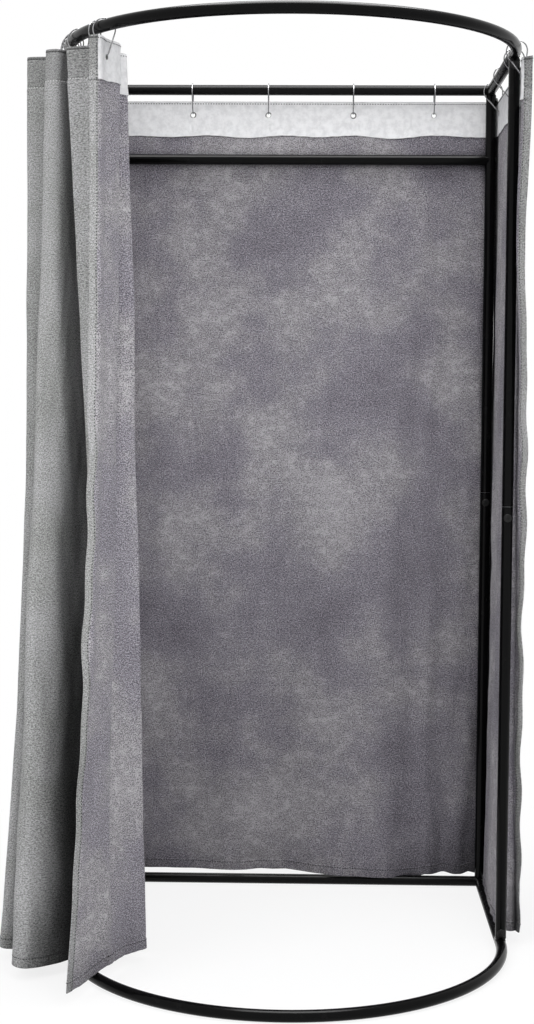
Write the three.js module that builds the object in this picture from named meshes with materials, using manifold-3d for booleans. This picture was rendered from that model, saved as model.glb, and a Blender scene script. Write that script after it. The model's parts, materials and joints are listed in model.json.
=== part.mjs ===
// Portable fitting room: a bolted frame of round steel tube, with one long curtain on wire hooks.
// Millimetres, +Z up. The origin is on the floor, under the middle of the rear base rail.
// The doorway faces -Y, and +X is on the right of somebody who looks in.
import * as THREE from 'three';
import { mergeVertices } from 'three/addons/utils/BufferGeometryUtils.js';
import Module from 'manifold-3d';

const wasm = await Module();
wasm.setup();

// Driving dimensions of the frame
const railSpan = 965; // between the centrelines of the left and right side rails
const sideLength = 502.5; // rear corner to front upright, on centrelines
const overallHeight = 2000;
const tubeDiameter = 25;
const tubeWall = 1;
const tubeSides = 16;
const arcBoreSides = 8; // bore of the bent rails
const arcSteps = 26; // straight facets in each semicircular front rail
const crossbarDrop = 181.5; // overall height down to the crossbar's centreline
const midJointHeight = 1000;

// Stubs, spigots and couplers
const slipClearance = 0.3; // radial gap of a stub, spigot or coupler in its bore
const faceGap = 0.3; // gap between faces that are pushed together
const insertWall = 1.5;
const stubLength = 55;
const spigotLength = 45;
const spigotNeck = 4; // length over which the tube is reduced inside
const spigotShoulder = 0.01; // keeps the step at the joint a face square to the tube
const jointSetback = 30; // side rail joint, behind the front upright
const couplerLength = 120;
const crossbarPlug = 24;

// Bolts
const boltShank = 6;
const boltHoleClearance = 0.3;
const boltReach = 16; // shank under the head of a frame bolt
const crossbarBoltReach = 44; // through the upright and into the crossbar's plug
const headDiameter = 19;
const headHeight = 3.4;
const socketAcrossFlats = 5;
const socketDepth = 2.4;
const endBoltInset = 27; // from a rail's centreline to the bolt that holds the upright
const midBoltDrop = 25; // from the middle joint down to its bolt
const boltSides = 10;

// Curtain and hooks
const clothThickness = 1.6;
const clothDrop = 26; // top rail's centreline to the cloth's top edge
const hemClearance = 1.5; // over the base rails, which the cloth hangs down to
const clothStandOff = 18.5; // tube centreline to the cloth, where it passes outside an upright
const eyeletDrop = 36; // cloth's top edge to the middle of an eyelet on an upright hook
const eyeletBore = 12;
const panelGap = 0.3; // between two stretches of the cloth
const hookWire = 2.8;
const hookTopRadius = 22.5;
const hookToeRadius = 6;
const hookSides = 6;
const hookClearance = 0.9; // wire over the rail, and an eyelet's top over the wire
const hookTopSteps = 11;
const hookToeSteps = 5;
const hookYawLimit = 31 * Math.PI / 180; // most that a hook turns to cross the cloth squarely
const hookRideRounds = 4; // rounds of lifting a turned hook until it clears the rail

// The gathered end, from its leading edge back to the left side. Each row is a place on the cloth:
// [cloth length from the edge, along the rail and out from it at the top, the same two at the hem,
// how late the fold flares]. Along is counted round the arc from the front left upright.
const gatherFolds = [
  [0, 337, 43, 361, 121, 2.8],
  [22, 350, 27, 353, 101, 2.7],
  [60, 326, -3, 336, 66, 2.4],
  [110, 305, -40, 303, 12, 2.1],
  [150, 284, -56, 270, -31, 1.9],
  [200, 282, -6, 234, -64, 1.8],
  [250, 246, -14, 226, -58, 1.5],
  [310, 218, 12, 219, -60, 1.15],
  [352, 201, 27, 212, -63, 1.05],
  [395, 204, 13, 209, -74, 1.1],
  [455, 195, -7, 222, -82, 1.2],
  [515, 179, -62, 190, -122, 0.9],
  [557, 168, -108, 160, -155, 0.75],
  [600, 134, -82, 118, -128, 0.9],
  [660, 147, -7, 148, -37, 1.3],
  [715, 174, 37, 201, 47, 1.3],
  [762, 156, 59, 210, 124, 1.1],
  [810, 133, 38, 175, 144, 1.1],
  [865, 115, -2, 142, 87, 1.6],
  [925, 107, -52, 123, 26, 2.1],
  [967, 89, -76, 102, -17, 2.4],
  [1010, 65, -54, 77, -1, 2.5],
  [1070, 78, 0, 88, 56, 2.6],
  [1125, 85, 51, 100, 110, 2.7],
  [1172, 72, 90, 93, 154, 2.8],
  [1225, 44, 65, 64, 155, 2.7],
  [1275, 33, 11, 38, 104, 2.4],
  [1305, 12, 18, 21, 78, 2.3],
  [1337, -12, 19, 1, 48, 2.2],
  [1368, -30, clothStandOff, -30, 24, 2],
  [1400, -60, clothStandOff, -60, clothStandOff, 2],
];
const gatherHookPlaces = [1275, 1070, 865, 660, 455, 200, 60]; // lengths of cloth, from the upright

// The short end past the front right upright, from the side wall to its leading edge. Along is
// counted round the arc from the front right upright.
const shortEndFolds = [
  [0, -90, clothStandOff, -90, 1, 1.5],
  [24, -66, clothStandOff, -67, 4, 1.5],
  [62, -28, 17, -48, 26, 1.45],
  [100, 14, 19, -62, 44, 1.35],
  [140, 46, 22, -92, 50, 1.25],
  [178, 76, 14, -76, 34, 1.15],
  [204, 98, 18, -58, 36, 1.15],
  [226, 113, 39, -40, 44, 1.15],
];
const shortEndHookPlace = 178;
const sideHookPlace = 62;

// Hems of the still walls: [along the rail, out from it], and the places of their hooks along it.
// The last row is as long as the wall was measured, and a longer wall stretches its table and its
// hooks' places. The rear and left walls are measured from the rear left corner, and the right
// wall from its front end.
const rearHem = [
  [0, clothStandOff], [100, 15], [230, 6], [345, -14], [440, 12], [540, -2], [620, -17],
  [712, -19], [792, 13], [826, 4], [862, 13], [920, 12], [965, clothStandOff],
];
const leftHem = [
  [0, clothStandOff], [32.5, clothStandOff], [112.5, 8], [232.5, -6], [362.5, 4],
  [442.5, clothStandOff],
];
const rightHem = [
  [0, 1], [30, -1], [86, -2], [200, 0], [300, 2], [356, 6], [398, clothStandOff], [412.5, clothStandOff],
];
const wallHemFlare = 1.5;
const wallRows = 6;
const gatherRows = 8;
const foldSteps = 2; // columns between two rows of a fold table
const normalReach = 2; // length of cloth on each side that gives the surface's direction
const cornerColumns = 3; // columns of a wall in its half of a rear corner
const wallColumn = 42; // width of a column of a still wall
const rearHookPlaces = [26.5, 231.5, 418.5, 627.5, 826.5];
const leftHookPlaces = [384.5, 179.5];
const rightHookPlaces = [159, 385];

// Derived sizes
const halfSpan = railSpan / 2;
const arcRadius = halfSpan;
const tubeRadius = tubeDiameter / 2;
const boreRadius = tubeRadius - tubeWall;
const insertRadius = boreRadius - slipClearance;
const baseHeight = tubeRadius;
const topHeight = overallHeight - tubeRadius;
const crossbarHeight = overallHeight - crossbarDrop;
const cornerFactor = 1 / Math.cos(Math.PI / tubeSides);
const clothTop = topHeight - clothDrop;
const clothHeight = clothTop - tubeDiameter - hemClearance;
const boltHoleRadius = boltShank / 2 + boltHoleClearance;
const jointY = jointSetback - sideLength;

// Colours
const blackPowderCoat = { color: 0x17171a, roughness: 0.35, metalness: 0.4 };
const galvanised = { color: 0xa9abae, roughness: 0.4, metalness: 0.9 };
const blackenedSteel = { color: 0x1c1c1e, roughness: 0.3, metalness: 0.8 };
const nickelWire = { color: 0xc9cacc, roughness: 0.2, metalness: 1 };
const greyCloth = { color: 0x8a8992, roughness: 0.95, metalness: 0 };

const object = new THREE.Group();
object.name = 'portable_fitting_room';

// Adds one sub-part to the assembly
function addPart(name, solid, finish) {
  const mesh = new THREE.Mesh(geometryOf(solid), new THREE.MeshStandardMaterial(finish));
  mesh.name = name;
  object.add(mesh);
}

function addHook(name, hung) {
  addPart(name, sweep(hookStations(hung), hookSides, true), nickelWire);
}

// Turns a closed three.js geometry into a solid that can be joined and cut
function solidOf(geometry) {
  const bare = geometry.index ? geometry.clone() : geometry;
  bare.deleteAttribute('normal');
  bare.deleteAttribute('uv');
  const merged = mergeVertices(bare, 1e-4);
  return new wasm.Manifold(new wasm.Mesh({
    numProp: 3,
    vertProperties: new Float32Array(merged.attributes.position.array),
    triVerts: new Uint32Array(merged.index.array),
  }));
}

function geometryOf(solid) {
  const mesh = solid.getMesh();
  const geometry = new THREE.BufferGeometry();
  geometry.setAttribute('position', new THREE.BufferAttribute(mesh.vertProperties.slice(), 3));
  geometry.setIndex(new THREE.BufferAttribute(mesh.triVerts.slice(), 1));
  geometry.computeVertexNormals();
  return geometry;
}

// A closed solid from vertex positions and triangles, turned so that its faces point out
function closedSolid(points, triangles) {
  let volume = 0;
  for (const [a, b, c] of triangles) {
    volume += points[a].dot(new THREE.Vector3().crossVectors(points[b], points[c]));
  }
  const index = triangles.flatMap(([a, b, c]) => (volume > 0 ? [a, b, c] : [a, c, b]));
  const geometry = new THREE.BufferGeometry();
  const positions = points.flatMap((point) => point.toArray());
  geometry.setAttribute('position', new THREE.Float32BufferAttribute(positions, 3));
  geometry.setIndex(index);
  return solidOf(geometry);
}

// A round section swept through stations. The section's flats lie at the stated radius, and
// a station on a mitre has a side vector longer than 1.
function sweep(stations, sides, closed = false) {
  const points = [];
  for (const { centre, side, up, radius } of stations) {
    const corner = radius / Math.cos(Math.PI / sides);
    for (let j = 0; j < sides; j += 1) {
      const angle = (j + 0.5) * 2 * Math.PI / sides;
      points.push(centre.clone()
        .addScaledVector(side, corner * Math.cos(angle))
        .addScaledVector(up, corner * Math.sin(angle)));
    }
  }
  const triangles = [];
  const spans = closed ? stations.length : stations.length - 1;
  for (let i = 0; i < spans; i += 1) {
    const here = i * sides;
    const next = ((i + 1) % stations.length) * sides;
    for (let j = 0; j < sides; j += 1) {
      const k = (j + 1) % sides;
      triangles.push([here + j, next + j, next + k], [here + j, next + k, here + k]);
    }
  }
  if (!closed) {
    const last = (stations.length - 1) * sides;
    for (let j = 1; j < sides - 1; j += 1) {
      triangles.push([0, j, j + 1], [last, last + j + 1, last + j]);
    }
  }
  return closedSolid(points, triangles);
}

// A round bar between two points, with flats that face the axes
function rod(start, end, radius, sides) {
  const length = start.distanceTo(end);
  const corner = radius / Math.cos(Math.PI / sides);
  const geometry = new THREE.CylinderGeometry(corner, corner, length, sides, 1, false, Math.PI / sides);
  const direction = end.clone().sub(start).normalize();
  geometry.applyQuaternion(new THREE.Quaternion().setFromUnitVectors(new THREE.Vector3(0, 1, 0), direction));
  geometry.translate(...start.clone().add(end).multiplyScalar(0.5).toArray());
  return solidOf(geometry);
}

function at(x, y, z) {
  return new THREE.Vector3(x, y, z);
}

// A bolt hole through one wall, or through everything up to its end
function boltHole(centre, direction, near, far) {
  const start = centre.clone().addScaledVector(direction, near);
  const end = centre.clone().addScaledVector(direction, far);
  return rod(start, end, boltHoleRadius, boltSides);
}

// Frame rails

// The rear half of a loop: the rear rail and both side rails, mitred and welded at the corners,
// with a stub on each corner for an upright. stubSide is 1 on the base and -1 at the top.
function rearFrame(height, stubSide) {
  const up = at(0, 0, 1);
  const stations = (radius, overshoot) => [
    { centre: at(-halfSpan, jointY - overshoot, height), side: at(-1, 0, 0), up, radius },
    { centre: at(-halfSpan, 0, height), side: at(-1, 1, 0), up, radius },
    { centre: at(halfSpan, 0, height), side: at(1, 1, 0), up, radius },
    { centre: at(halfSpan, jointY - overshoot, height), side: at(1, 0, 0), up, radius },
  ];
  const bore = sweep(stations(boreRadius, 1), tubeSides);
  let frame = sweep(stations(tubeRadius, 0), tubeSides);
  for (const x of [-halfSpan, halfSpan]) {
    frame = frame.add(stub(at(x, 0, height), stubSide));
  }
  frame = frame.subtract(bore);
  for (const x of [-halfSpan, halfSpan]) {
    const hole = at(x, 0, height + stubSide * endBoltInset);
    frame = frame.subtract(boltHole(hole, at(Math.sign(x), 0, 0), 0, tubeRadius));
  }
  return frame;
}

// A short tube welded on a rail, which an upright slides over
function stub(root, stubSide) {
  const tip = root.clone().add(at(0, 0, stubSide * (tubeRadius + stubLength)));
  const beyond = tip.clone().add(at(0, 0, stubSide));
  const bored = rod(root, beyond, insertRadius - insertWall, tubeSides);
  return rod(root, tip, insertRadius, tubeSides).subtract(bored);
}

// The front half of a loop: a semicircle with straight tails and reduced ends that enter the
// side rails, and a stub on each end for a front upright
function frontArc(height, stubSide) {
  const up = at(0, 0, 1);
  const tailEnd = jointY - faceGap;
  const outer = [];
  const inner = [];
  const boreFactor = cornerFactor * Math.cos(Math.PI / arcBoreSides);
  const addStation = (x, y, side, radius, innerRadius) => {
    outer.push({ centre: at(x, y, height), side, up, radius });
    inner.push({ centre: at(x, y, height), side, up, radius: innerRadius * boreFactor });
  };
  const spigotBore = insertRadius - insertWall;
  const tail = (sign) => {
    const side = at(sign, 0, 0);
    return [
      [sign * halfSpan, tailEnd + spigotLength, side, insertRadius, spigotBore],
      [sign * halfSpan, tailEnd + spigotShoulder, side, insertRadius, spigotBore],
      [sign * halfSpan, tailEnd, side, tubeRadius, spigotBore],
      [sign * halfSpan, tailEnd - spigotNeck, side, tubeRadius, boreRadius],
    ];
  };
  tail(-1).forEach((station) => addStation(...station));
  for (let i = 0; i <= arcSteps; i += 1) {
    const angle = Math.PI + i * Math.PI / arcSteps;
    const side = at(Math.cos(angle), Math.sin(angle), 0);
    addStation(arcRadius * side.x, arcRadius * side.y - sideLength, side, tubeRadius, boreRadius);
  }
  tail(1).reverse().forEach((station) => addStation(...station));
  for (const end of [inner[0], inner[inner.length - 1]]) {
    end.centre = end.centre.clone().add(at(0, 1, 0));
  }
  let arc = sweep(outer, tubeSides);
  for (const x of [-halfSpan, halfSpan]) {
    arc = arc.add(stub(at(x, -sideLength, height), stubSide));
  }
  arc = arc.subtract(sweep(inner, arcBoreSides));
  for (const x of [-halfSpan, halfSpan]) {
    const hole = at(x, -sideLength, height + stubSide * endBoltInset);
    arc = arc.subtract(boltHole(hole, at(0, -1, 0), 0, tubeRadius));
  }
  return arc;
}

// Uprights, couplers and the crossbar

const uprightPlaces = [
  { name: 'rear_left', x: -halfSpan, y: 0, endBolt: at(-1, 0, 0) },
  { name: 'rear_right', x: halfSpan, y: 0, endBolt: at(1, 0, 0) },
  { name: 'front_left', x: -halfSpan, y: -sideLength, endBolt: at(0, -1, 0) },
  { name: 'front_right', x: halfSpan, y: -sideLength, endBolt: at(0, -1, 0) },
];
const midBoltHeight = midJointHeight - midBoltDrop;
const midBoltSide = at(0, -1, 0);

function pipe(start, end, outerRadius, innerRadius) {
  const past = end.clone().sub(start).normalize();
  const bore = rod(start.clone().sub(past), end.clone().add(past), innerRadius, tubeSides);
  return rod(start, end, outerRadius, tubeSides).subtract(bore);
}

function lowerUpright({ x, y, endBolt }) {
  const foot = at(x, y, baseHeight + tubeRadius + faceGap);
  const head = at(x, y, midJointHeight - faceGap / 2);
  return pipe(foot, head, tubeRadius, boreRadius)
    .subtract(boltHole(at(x, y, baseHeight + endBoltInset), endBolt, 0, tubeDiameter))
    .subtract(boltHole(at(x, y, midBoltHeight), midBoltSide, 0, tubeDiameter));
}

function upperUpright({ x, y, endBolt }) {
  const foot = at(x, y, midJointHeight + faceGap / 2);
  const head = at(x, y, topHeight - tubeRadius - faceGap);
  const upright = pipe(foot, head, tubeRadius, boreRadius)
    .subtract(boltHole(at(x, y, topHeight - endBoltInset), endBolt, 0, tubeDiameter));
  if (y < 0) {
    return upright;
  }
  return upright.subtract(boltHole(at(x, y, crossbarHeight), endBolt, -tubeDiameter, tubeDiameter));
}

function coupler({ x, y }) {
  const foot = at(x, y, midJointHeight - couplerLength / 2);
  const head = at(x, y, midJointHeight + couplerLength / 2);
  return pipe(foot, head, insertRadius, insertRadius - insertWall)
    .subtract(boltHole(at(x, y, midBoltHeight), midBoltSide, 0, tubeDiameter));
}

// The rail between the rear uprights: its ends are cut to sit on their round tubes, and a threaded
// plug in each end takes the bolt
function crossbar() {
  const end = at(halfSpan - tubeRadius / 2, 0, crossbarHeight);
  const start = end.clone().setX(-end.x);
  const plugged = at(halfSpan - tubeRadius - crossbarPlug, 0, crossbarHeight);
  let bar = rod(start, end, tubeRadius, tubeSides)
    .subtract(rod(plugged.clone().setX(-plugged.x), plugged, boreRadius, tubeSides));
  for (const sign of [-1, 1]) {
    const centre = at(sign * halfSpan, 0, crossbarHeight);
    const low = centre.clone().add(at(0, 0, -tubeDiameter));
    const high = centre.clone().add(at(0, 0, tubeDiameter));
    bar = bar.subtract(rod(low, high, tubeRadius + faceGap, tubeSides))
      .subtract(boltHole(centre, at(-sign, 0, 0), 0, tubeDiameter + crossbarPlug));
  }
  return bar;
}

// A bolt with a low domed head and a hexagon socket. seat is where the head meets the tube.
function bolt(seat, outward, reach) {
  const head = headDiameter / 2;
  const shank = boltShank / 2;
  const profile = [
    [0, -reach], [shank, -reach], [shank, 0], [head, 0], [head, headHeight * 0.45],
    [head * 0.82, headHeight * 0.85], [head * 0.55, headHeight], [0, headHeight],
  ].map(([radius, height]) => new THREE.Vector2(radius, height));
  const body = solidOf(new THREE.LatheGeometry(profile, boltSides));
  const corner = socketAcrossFlats / 2 / Math.cos(Math.PI / 6);
  const socket = new THREE.CylinderGeometry(corner, corner, 2 * socketDepth, 6);
  socket.translate(0, headHeight, 0);
  const geometry = geometryOf(body.subtract(solidOf(socket)));
  geometry.applyQuaternion(new THREE.Quaternion().setFromUnitVectors(new THREE.Vector3(0, 1, 0), outward));
  const start = seat.clone().addScaledVector(outward, faceGap);
  geometry.translate(...start.toArray());
  return solidOf(geometry);
}

// The rail that the curtain hangs on

// A place on the top rail's centreline, with the directions along and out. Along is counted from
// the front upright: round the arc when positive, and back along the side rail when negative.
// sign is -1 from the left upright and 1 from the right one.
function railPlace(along, sign) {
  if (along <= 0) {
    return {
      point: at(sign * halfSpan, -sideLength - along, topHeight),
      forward: at(0, -1, 0),
      outward: at(sign, 0, 0),
    };
  }
  const angle = along / arcRadius;
  const outward = at(sign * Math.cos(angle), -Math.sin(angle), 0);
  return {
    point: at(arcRadius * outward.x, arcRadius * outward.y - sideLength, topHeight),
    forward: at(-sign * Math.sin(angle), -Math.cos(angle), 0),
    outward,
  };
}

// Smooth curve through rows of numbers, of which the first is the place on the curve
function throughRows(rows, place) {
  const last = rows.length - 1;
  let i = 0;
  while (i < last - 1 && rows[i + 1][0] <= place) {
    i += 1;
  }
  const slope = (k, column) => {
    const before = rows[Math.max(k - 1, 0)];
    const after = rows[Math.min(k + 1, last)];
    return (after[column] - before[column]) / (after[0] - before[0]);
  };
  const step = rows[i + 1][0] - rows[i][0];
  const t = (place - rows[i][0]) / step;
  return rows[i].map((from, column) => {
    if (column === 0) {
      return place;
    }
    return (2 * t ** 3 - 3 * t ** 2 + 1) * from + (t ** 3 - 2 * t ** 2 + t) * step * slope(i, column)
      + (3 * t ** 2 - 2 * t ** 3) * rows[i + 1][column] + (t ** 3 - t ** 2) * step * slope(i + 1, column);
  });
}

// A cloth end in plan at one level: fall is 0 at the top edge and 1 at the hem
function foldPoint(folds, sign, place, fall) {
  const [, topAlong, topOut, hemAlong, hemOut, flare] = throughRows(folds, place);
  const top = railPlace(topAlong, sign);
  const hem = railPlace(hemAlong, sign);
  const high = top.point.addScaledVector(top.outward, topOut);
  const low = hem.point.addScaledVector(hem.outward, hemOut);
  return high.lerp(low, fall ** flare).setZ(clothTop - fall * clothHeight);
}

// A cloth solid from its middle surface. surface(place, fall) gives a point of it, places are
// lengths along the cloth, and each eyelet is a hole square to the cloth.
function cloth(surface, places, rows, eyelets) {
  const points = [];
  for (const side of [-1, 1]) {
    for (let row = 0; row <= rows; row += 1) {
      for (const place of places) {
        const fall = row / rows;
        const normal = clothNormal(surface, place, fall, places);
        points.push(surface(place, fall).addScaledVector(normal, side * clothThickness / 2));
      }
    }
  }
  const columns = places.length;
  const layer = columns * (rows + 1);
  const triangles = [];
  const quad = (a, b, c, d) => triangles.push([a, b, c], [a, c, d]);
  for (let row = 0; row < rows; row += 1) {
    for (let column = 0; column < columns - 1; column += 1) {
      const a = row * columns + column;
      quad(a, a + 1, a + 1 + columns, a + columns);
      quad(layer + a, layer + a + columns, layer + a + 1 + columns, layer + a + 1);
    }
    const left = row * columns;
    const right = left + columns - 1;
    quad(left, left + columns, layer + left + columns, layer + left);
    quad(right, layer + right, layer + right + columns, right + columns);
  }
  for (let column = 0; column < columns - 1; column += 1) {
    const low = rows * columns + column;
    quad(column, layer + column, layer + column + 1, column + 1);
    quad(low, low + 1, layer + low + 1, layer + low);
  }
  let solid = closedSolid(points, triangles);
  for (const { centre, normal } of eyelets) {
    const start = centre.clone().addScaledVector(normal, -eyeletBore);
    const end = centre.clone().addScaledVector(normal, eyeletBore);
    solid = solid.subtract(rod(start, end, eyeletBore / 2, hookSides + 2));
  }
  return solid;
}

// Level normal of a cloth surface
function clothNormal(surface, place, fall, places) {
  const before = surface(Math.max(place - normalReach, places[0]), fall);
  const after = surface(Math.min(place + normalReach, places[places.length - 1]), fall);
  const tangent = after.sub(before).setZ(0).normalize();
  return at(tangent.y, -tangent.x, 0);
}

// Hooks: a pear-shaped loop of wire round the rail, with its toe through an eyelet

// Drops below the rail's centre, for a hook that hangs plumb
const hookSeat = tubeRadius * cornerFactor + hookClearance;
const hookCentreDrop = hookTopRadius - hookWire / 2 - hookSeat;
const toeCentreDrop = clothDrop + eyeletDrop - eyeletBore / 2 + hookClearance + hookWire / 2
  - hookToeRadius;
const hookTaper = Math.asin((hookTopRadius - hookToeRadius) / (toeCentreDrop - hookCentreDrop));

// Distance of a point from the centreline of the top rail
function distanceToRail({ x, y, z }) {
  const inFront = Math.min(y + sideLength, 0);
  const level = inFront < 0
    ? Math.hypot(x, inFront) - arcRadius
    : Math.min(Math.abs(halfSpan - Math.abs(x)), Math.abs(y));
  return Math.hypot(level, z - topHeight);
}

// Works out how a hook hangs on the rail for an eyelet at a place on the cloth. It turns about the
// vertical to cross the cloth, tilts until its toe is in the cloth, and rides up on the rail.
function hangHook(surface, places, place, rail) {
  const target = surface(place, eyeletDrop / clothHeight).setZ(topHeight);
  const normal = clothNormal(surface, place, eyeletDrop / clothHeight, places);
  let turn = Math.atan2(normal.dot(rail.forward), normal.dot(rail.outward));
  if (Math.abs(turn) > Math.PI / 2) {
    turn -= Math.sign(turn) * Math.PI;
  }
  const yaw = THREE.MathUtils.clamp(turn, -hookYawLimit, hookYawLimit);
  const across = rail.outward.clone().multiplyScalar(Math.cos(yaw))
    .addScaledVector(rail.forward, Math.sin(yaw));
  const lean = target.clone().sub(rail.point).dot(rail.outward) / Math.cos(yaw);
  const hung = {
    hanger: target.clone().addScaledVector(across, -lean),
    across,
    tilt: Math.asin(lean / toeCentreDrop),
  };
  for (let round = 0; round < hookRideRounds; round += 1) {
    const least = Math.min(...hookStations(hung).map(({ centre }) => distanceToRail(centre)));
    hung.hanger.z += Math.max(hookSeat + hookWire / 2 - least, 0);
  }
  const wire = hung.hanger.z - toeCentreDrop * Math.cos(hung.tilt) - hookToeRadius;
  const centre = target.clone().setZ(wire + hookWire / 2 + hookClearance - eyeletBore / 2);
  return { ...hung, eyelet: { centre, normal } };
}

// The closed loop of a hook: a wide arc over the rail and a narrow one in the eyelet, with the
// straight legs between them
function hookStations({ hanger, across, tilt }) {
  const upward = at(0, 0, Math.cos(tilt)).addScaledVector(across, -Math.sin(tilt));
  const sideways = at(0, 0, Math.sin(tilt)).addScaledVector(across, Math.cos(tilt));
  const plane = new THREE.Vector3().crossVectors(sideways, upward);
  const stations = [];
  const arc = (drop, radius, from, to, steps) => {
    for (let i = 0; i <= steps; i += 1) {
      const angle = from + (to - from) * i / steps;
      const side = sideways.clone().multiplyScalar(Math.cos(angle)).addScaledVector(upward, Math.sin(angle));
      const centre = hanger.clone().addScaledVector(upward, -drop).addScaledVector(side, radius);
      stations.push({ centre, side, up: plane, radius: hookWire / 2 });
    }
  };
  const top = Math.PI + hookTaper;
  arc(hookCentreDrop, hookTopRadius, -hookTaper, top, hookTopSteps);
  arc(toeCentreDrop, hookToeRadius, top, 2 * Math.PI - hookTaper, hookToeSteps);
  return stations;
}

// Places along a cloth end, a few between two rows of its table
function foldPlaces(folds) {
  const places = [folds[0][0]];
  for (let i = 1; i < folds.length; i += 1) {
    for (let step = 1; step <= foldSteps; step += 1) {
      places.push(folds[i - 1][0] + (folds[i][0] - folds[i - 1][0]) * step / foldSteps);
    }
  }
  return places;
}

function split(from, to, count) {
  return Array.from({ length: count + 1 }, (_, i) => from + (to - from) * i / count);
}

// Rails, uprights and fasteners
addPart('base_rear_frame', rearFrame(baseHeight, 1), blackPowderCoat);
addPart('base_front_arc', frontArc(baseHeight, 1), blackPowderCoat);
addPart('top_rear_frame', rearFrame(topHeight, -1), blackPowderCoat);
addPart('top_front_arc', frontArc(topHeight, -1), blackPowderCoat);
for (const place of uprightPlaces) {
  const { name, x, y, endBolt } = place;
  addPart(`upright_${name}_lower`, lowerUpright(place), blackPowderCoat);
  addPart(`upright_${name}_upper`, upperUpright(place), blackPowderCoat);
  addPart(`coupler_${name}`, coupler(place), galvanised);
  const seat = (height, side) => at(x, y, height).addScaledVector(side, tubeRadius);
  addPart(`bolt_base_${name}`, bolt(seat(baseHeight + endBoltInset, endBolt), endBolt, boltReach),
    blackenedSteel);
  addPart(`bolt_middle_${name}`, bolt(seat(midBoltHeight, midBoltSide), midBoltSide, boltReach),
    blackenedSteel);
  addPart(`bolt_top_${name}`, bolt(seat(topHeight - endBoltInset, endBolt), endBolt, boltReach),
    blackenedSteel);
  if (y === 0) {
    addPart(`bolt_crossbar_${name}`, bolt(seat(crossbarHeight, endBolt), endBolt, crossbarBoltReach),
      blackenedSteel);
  }
}
addPart('crossbar', crossbar(), blackPowderCoat);

// The gathered end of the curtain on the left of the doorway
const gatherSurface = (place, fall) => foldPoint(gatherFolds, -1, place, fall);
const gatherPlaces = foldPlaces(gatherFolds);
const gatherHooks = gatherHookPlaces.map((place) => {
  const [, along] = throughRows(gatherFolds, place);
  return hangHook(gatherSurface, gatherPlaces, place, railPlace(along, -1));
});
addPart('curtain_gathered_end',
  cloth(gatherSurface, gatherPlaces, gatherRows, gatherHooks.map(({ eyelet }) => eyelet)), greyCloth);
gatherHooks.forEach((hung, i) => addHook(`hook_gather_${i + 1}`, hung));

// The short end of the curtain on the right of the doorway
const shortSurface = (place, fall) => foldPoint(shortEndFolds, 1, place, fall);
const shortPlaces = foldPlaces(shortEndFolds);
const shortHooks = [sideHookPlace, shortEndHookPlace].map((place) => {
  const [, along] = throughRows(shortEndFolds, place);
  return hangHook(shortSurface, shortPlaces, place, railPlace(along, 1));
});
addPart('curtain_short_end',
  cloth(shortSurface, shortPlaces, gatherRows, shortHooks.map(({ eyelet }) => eyelet)), greyCloth);
addHook('hook_right_front', shortHooks[0]);
addHook('hook_right_lead', shortHooks[1]);

// The still walls of the curtain. Each is a run of plan: a straight line with a rounded end where
// the cloth turns half of a rear corner.

// start and end are on the tube's centreline, outward is level, and turns say which ends round
// a corner. Returns the surface, its places and the hooks' places on it.
function wall(start, end, outward, hem, measuredHookPlaces, turnsAtStart, turnsAtEnd) {
  const forward = end.clone().sub(start).normalize();
  const length = start.distanceTo(end);
  const stretch = length / hem[hem.length - 1][0];
  const turn = Math.PI / 4;
  const corner = clothStandOff * turn;
  const lowest = turnsAtStart ? -corner + panelGap / 2 : panelGap / 2;
  const highest = length + (turnsAtEnd ? corner - panelGap / 2 : -panelGap / 2);
  const surface = (place, fall) => {
    const onLine = THREE.MathUtils.clamp(place, 0, length);
    const angle = (place - onLine) / clothStandOff;
    const away = outward.clone().multiplyScalar(Math.cos(angle)).addScaledVector(forward, Math.sin(angle));
    const [, hemOut] = throughRows(hem, onLine / stretch);
    const out = clothStandOff + (hemOut - clothStandOff) * fall ** wallHemFlare;
    return start.clone().addScaledVector(forward, onLine).addScaledVector(away, out)
      .setZ(clothTop - fall * clothHeight);
  };
  const places = split(0, length, Math.ceil(length / wallColumn));
  if (turnsAtStart) {
    places.unshift(...split(lowest, 0, cornerColumns).slice(0, -1));
  }
  if (turnsAtEnd) {
    places.push(...split(length, highest, cornerColumns).slice(1));
  }
  places[0] = lowest;
  places[places.length - 1] = highest;
  return { surface, places, hookPlaces: measuredHookPlaces.map((place) => place * stretch) };
}

// side names the wall and its hooks, and railAt gives the rail at a place of the wall
function addWall(side, { surface, places, hookPlaces }, railAt) {
  const hung = hookPlaces.map((place) => hangHook(surface, places, place, railAt(place)));
  const eyelets = hung.map(({ eyelet }) => eyelet);
  addPart(`curtain_${side}_wall`, cloth(surface, places, wallRows, eyelets), greyCloth);
  hung.forEach((one, i) => addHook(`hook_${side}_${i + 1}`, one));
}

const leftStart = -gatherFolds[gatherFolds.length - 1][1];
const leftWall = wall(at(-halfSpan, 0, 0), at(-halfSpan, -sideLength + leftStart, 0), at(-1, 0, 0),
  leftHem, leftHookPlaces, true, false);
addWall('left', leftWall, (place) => railPlace(place - sideLength, -1));

const rearWall = wall(at(-halfSpan, 0, 0), at(halfSpan, 0, 0), at(0, 1, 0),
  rearHem, rearHookPlaces, true, true);
addWall('rear', rearWall, (place) => (
  { point: at(place - halfSpan, 0, topHeight), forward: at(1, 0, 0), outward: at(0, 1, 0) }
));

const rightStart = -shortEndFolds[0][1];
const rightWall = wall(at(halfSpan, -sideLength + rightStart, 0), at(halfSpan, 0, 0), at(1, 0, 0),
  rightHem, rightHookPlaces, false, true);
addWall('right', rightWall, (place) => railPlace(-rightStart - place, 1));

export default object;
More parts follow.
